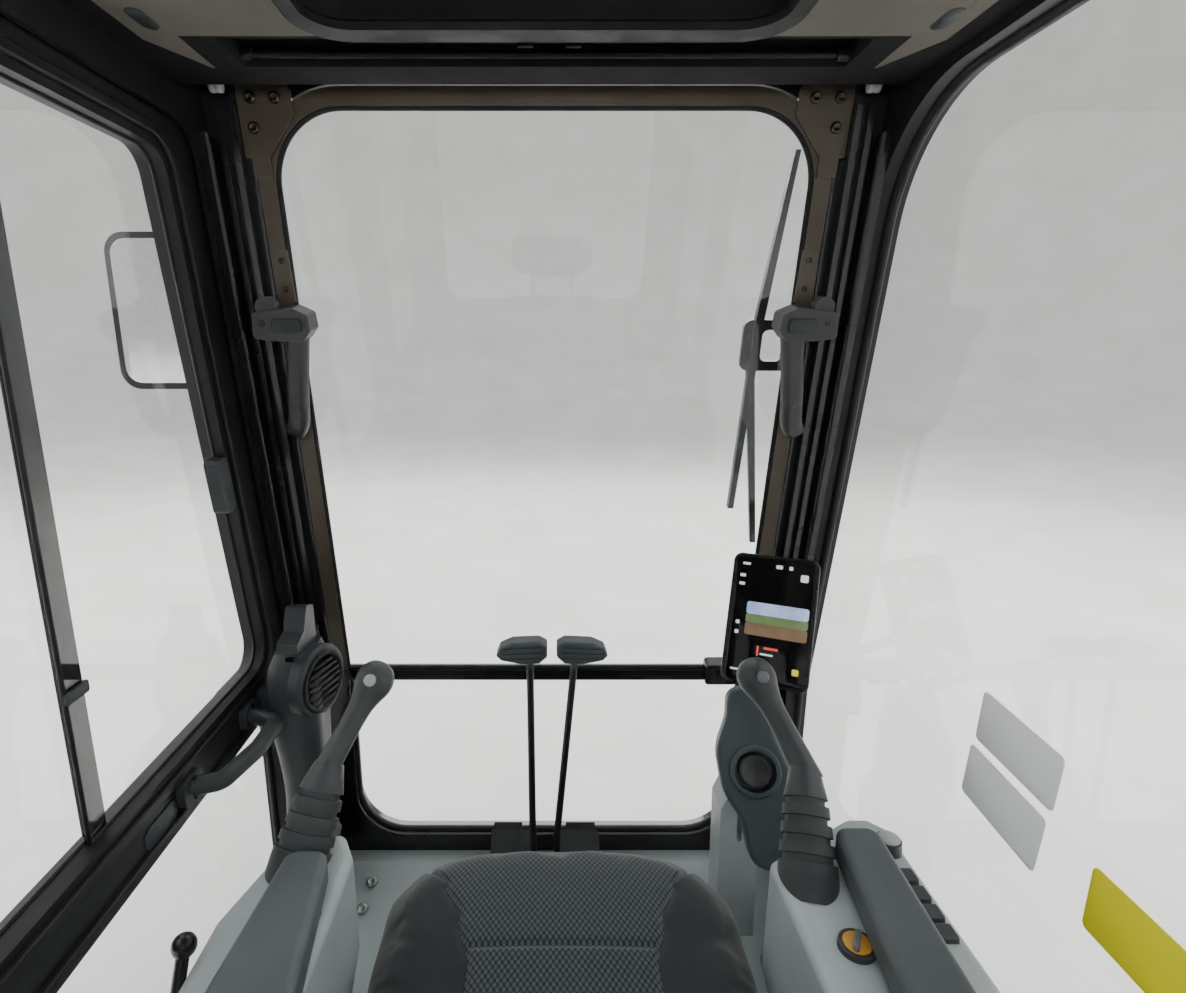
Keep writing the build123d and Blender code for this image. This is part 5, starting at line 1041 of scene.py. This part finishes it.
def make_vent_louvres():
    """A ring and slats in the round vent of the left duct."""
    turn = facing(VENT_NORMAL)
    shapes = [moved(spin(VENT_RING, 44), VENT_AT + VENT_NORMAL * 2 * HAIR, VENT_NORMAL)]
    for row in range(-SLATS_EACH_WAY, SLATS_EACH_WAY + 1):
        up = row * SLAT_PITCH
        slat = slab(rounded_outline(2 * (VENT_RADIUS ** 2 - up ** 2) ** 0.5, 0.005, 0.002), 0.004, 0.001)
        shapes.append(moved(slat, VENT_AT + turn @ Vector((0, up, 0)), VENT_NORMAL))
    add_piece("vent_louvres", join_shapes(shapes), "root", "rubber")


def make_pod_disc():
    """The flat inner disc of the ring on the right pod."""
    disc = moved(spin(POD_DISC, 40), POD_AT - POD_NORMAL * POD_DISC_SUNK, POD_NORMAL)
    add_piece("pod_disc", disc, "root", "latch_plastic", "dark_plastic")


# Rows of bolts: their xs, ys and zs
PILLAR_HINGE_BOLTS = ((-0.526,), (-0.132, -0.158), (0.402, 1.312))
DOOR_HINGE_BOLTS = ((-0.531,), (-0.072, -0.046), (0.438, 1.348))
HANDLE_SCREWS = ((0.488, 0.672), (0.6615, 0.6895))
HANDLE_INSET = 0.012
MIRROR_FOOT = ((-0.530,), (0.757,))
MIRROR_FOOT_DOWN = (0.012, 0.078)
MOUNT_BOLTS = ((-0.42, 0.42), (-0.70, 0.70))
TAB_BOLTS = ((-0.022, 0.032), (0.528,), (1.602,))
TOE_BOLTS = ((-0.350, 0.833, 0.2000), (-0.358, 0.786, 0.1818))
TOE_NORMAL = Vector((0, -0.358, 0.934))


def grid(xs, ys, zs):
    """Places at every mix of three lists of coordinates."""
    return [(x, y, z) for x in xs for y in ys for z in zs]


def make_fasteners():
    """Bolts of the hinges, the handle, the mirror foot, the mounts, the toe board and the header tabs."""
    hinge_bolt = bolt_shape(0.0052)
    handle_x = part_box("door_grab_handle")[0][0] + HANDLE_INSET
    foot_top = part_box("mirror_arm")[1][2]
    foot_zs = [foot_top - down for down in MIRROR_FOOT_DOWN]
    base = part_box("floor_plate")[0][2]
    for name, body, shape, finish, normal, places in (
            ("pillar_hinge_bolts", "root", hinge_bolt, "dark_bolt", LEFT, grid(*PILLAR_HINGE_BOLTS)),
            ("door_hinge_bolts", "door", hinge_bolt, "dark_bolt", LEFT, grid(*DOOR_HINGE_BOLTS)),
            ("handle_screws", "door", cap_screw_shape(0.0035), "dark_bolt", RIGHT, grid((handle_x,), *HANDLE_SCREWS)),
            ("mirror_foot_bolts", "root", bolt_shape(0.0045), "dark_bolt", LEFT, grid(*MIRROR_FOOT, foot_zs)),
            ("mount_bolts", "root", bolt_shape(0.016), "zinc", UP, grid(*MOUNT_BOLTS, (base,))),
            ("toe_bolts", "root", cap_screw_shape(0.011), "zinc", TOE_NORMAL, TOE_BOLTS),
            ("tab_bolts", "root", bolt_shape(0.0042), "dark_bolt", BACK, grid(*TAB_BOLTS))):
        shapes = [moved(shape, at, normal) for at in places]
        add_piece(name, join_shapes(shapes), body, finish, "black_paint")


LINER_COVER_XY = (0.417, 0.478)
# Rubber wedges: their ends in x, and one profile in y and z
WEDGES = (("left", (-0.107, -0.048)), ("right", (0.044, 0.105)))
WEDGE_PROFILE = ((0.9182, 0.256), (0.8918, 0.256), (0.8918, 0.266), (0.9110, 0.278))
DRIP_SEAM_RADIUS = 0.0025
DRIP_INSET = 0.002


def make_liner_insets():
    """Small oval recess covers in both front corners of the ceiling."""
    cover = slab(rounded_outline(0.018, 0.046, 0.0089, 8), 0.0012, 0.0004)
    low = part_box("headliner")[0][2]
    x, y = LINER_COVER_XY
    shapes = [moved(cover, (side * x, y, low), DOWN, FORWARD) for side in SIDES]
    add_piece("liner_insets", join_shapes(shapes), "root", "dark_plastic")


def make_lower_blocks():
    """Two low rubber wedges on the lower window's frame."""
    faces = [(0, 1, 2, 3), (7, 6, 5, 4), (0, 4, 5, 1), (1, 5, 6, 2), (2, 6, 7, 3), (3, 7, 4, 0)]
    for side, ends in WEDGES:
        points = [(x, y, z) for x in ends for y, z in WEDGE_PROFILE]
        add_piece(f"lower_wedge_{side}", (points, faces), "root", "rubber", smooth=False)


def make_roof_seam():
    """The drip seam under the roof panel's edge."""
    low, high = (Vector(corner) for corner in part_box("roof_panel"))
    middle, size = (low + high) / 2, high - low
    outline = [Vector((middle.x + point.x, middle.y + point.y, low.z + DRIP_INSET))
               for point in rounded_outline(size.x - 2 * DRIP_INSET, size.y - 2 * DRIP_INSET, 0.085, 8)]
    add_bead("roof_drip_seam", outline, DRIP_SEAM_RADIUS, "root")


# Stage and light


# The floor's radius and height, out to the top of the backdrop
FLOOR_PROFILE = ((0.0, 0.0), (3.0, 0.0), (7.0, 0.0), (9.0, 0.25), (11.0, 1.1), (12.5, 2.6), (13.3, 4.6), (13.6, 7.0),
                 (13.7, 10.0), (13.7, 13.0))
FLOOR_GAP = 0.0005
SKY_COLOUR = (0.93, 0.96, 1.0, 1)
SKY_STRENGTH = 1.9
# Area lights: name, place, target, size, power
SKY_LIGHTS = (
    ("front_sky", (0.5, 5.0, 4.2), (0, 0.4, 0.9), (6, 4), 560),
    ("left_sky", (-5.0, 1.0, 3.6), (0, 0.2, 0.9), (5, 4), 400),
    ("right_sky", (5.0, 0.5, 3.8), (0, 0.2, 0.9), (5, 4), 470),
    ("back_sky", (0, -5.0, 4.0), (0, 0, 0.9), (5, 4), 280))
CAB_FILL = ("cab_fill", (0, -0.62, 1.42), (0, 0.6, 0.7), (0.7, 0.3), 9)


def make_stage():
    """A pale floor that turns up into a backdrop far outside the windows."""
    points, faces = spin(FLOOR_PROFILE, 72)
    bottom = cad_box[0][2] - FLOOR_GAP
    mesh = bpy.data.meshes.new("floor")
    mesh.from_pydata([point + UP * bottom for point in points], [], faces[:-2])
    for polygon in mesh.polygons:
        polygon.use_smooth = True
    floor = add_object("floor", mesh)
    shader = Shader("floor")
    shader.colour(shader.ramp(shader.noise(2), [(0.3, (0.50, 0.485, 0.465)), (0.7, (0.56, 0.545, 0.525))]))
    shader.set(Roughness=0.85)
    mesh.materials.append(shader.material)


def area_light(name, at, target, size, power):
    """A rectangular light that looks at a target and isn't seen itself."""
    data = bpy.data.lights.new(name, "AREA")
    data.shape = "RECTANGLE"
    data.size, data.size_y = size
    data.energy = power
    light = add_object(name, data)
    light.location = at
    light.rotation_euler = (Vector(target) - Vector(at)).to_track_quat("-Z", "Y").to_euler()
    light.visible_camera = False
    light.visible_transmission = False
    return light


def make_light():
    """An even pale sky, four large lights round the cab and a weak one inside that shows in no reflection."""
    world = bpy.context.scene.world = bpy.data.worlds.new("studio")
    world.use_nodes = True
    background = world.node_tree.nodes["Background"]
    background.inputs["Color"].default_value = SKY_COLOUR
    background.inputs["Strength"].default_value = SKY_STRENGTH
    for row in SKY_LIGHTS:
        area_light(*row)
    area_light(*CAB_FILL).visible_glossy = False


make_camera()
dress_nodes()
make_seals()
make_window_rollers()
make_window_bolts()
make_latch_details()
make_door_pane_seal()
make_monitor_face()
make_joystick_details()
make_console_details()
make_seat_cushion()
make_seat_back()
make_headrest()
make_bellows()
make_plates()
make_belt_plug()
make_mirror_glass()
make_vent_louvres()
make_pod_disc()
make_fasteners()
make_liner_insets()
make_lower_blocks()
make_roof_seam()
make_stage()
make_light()
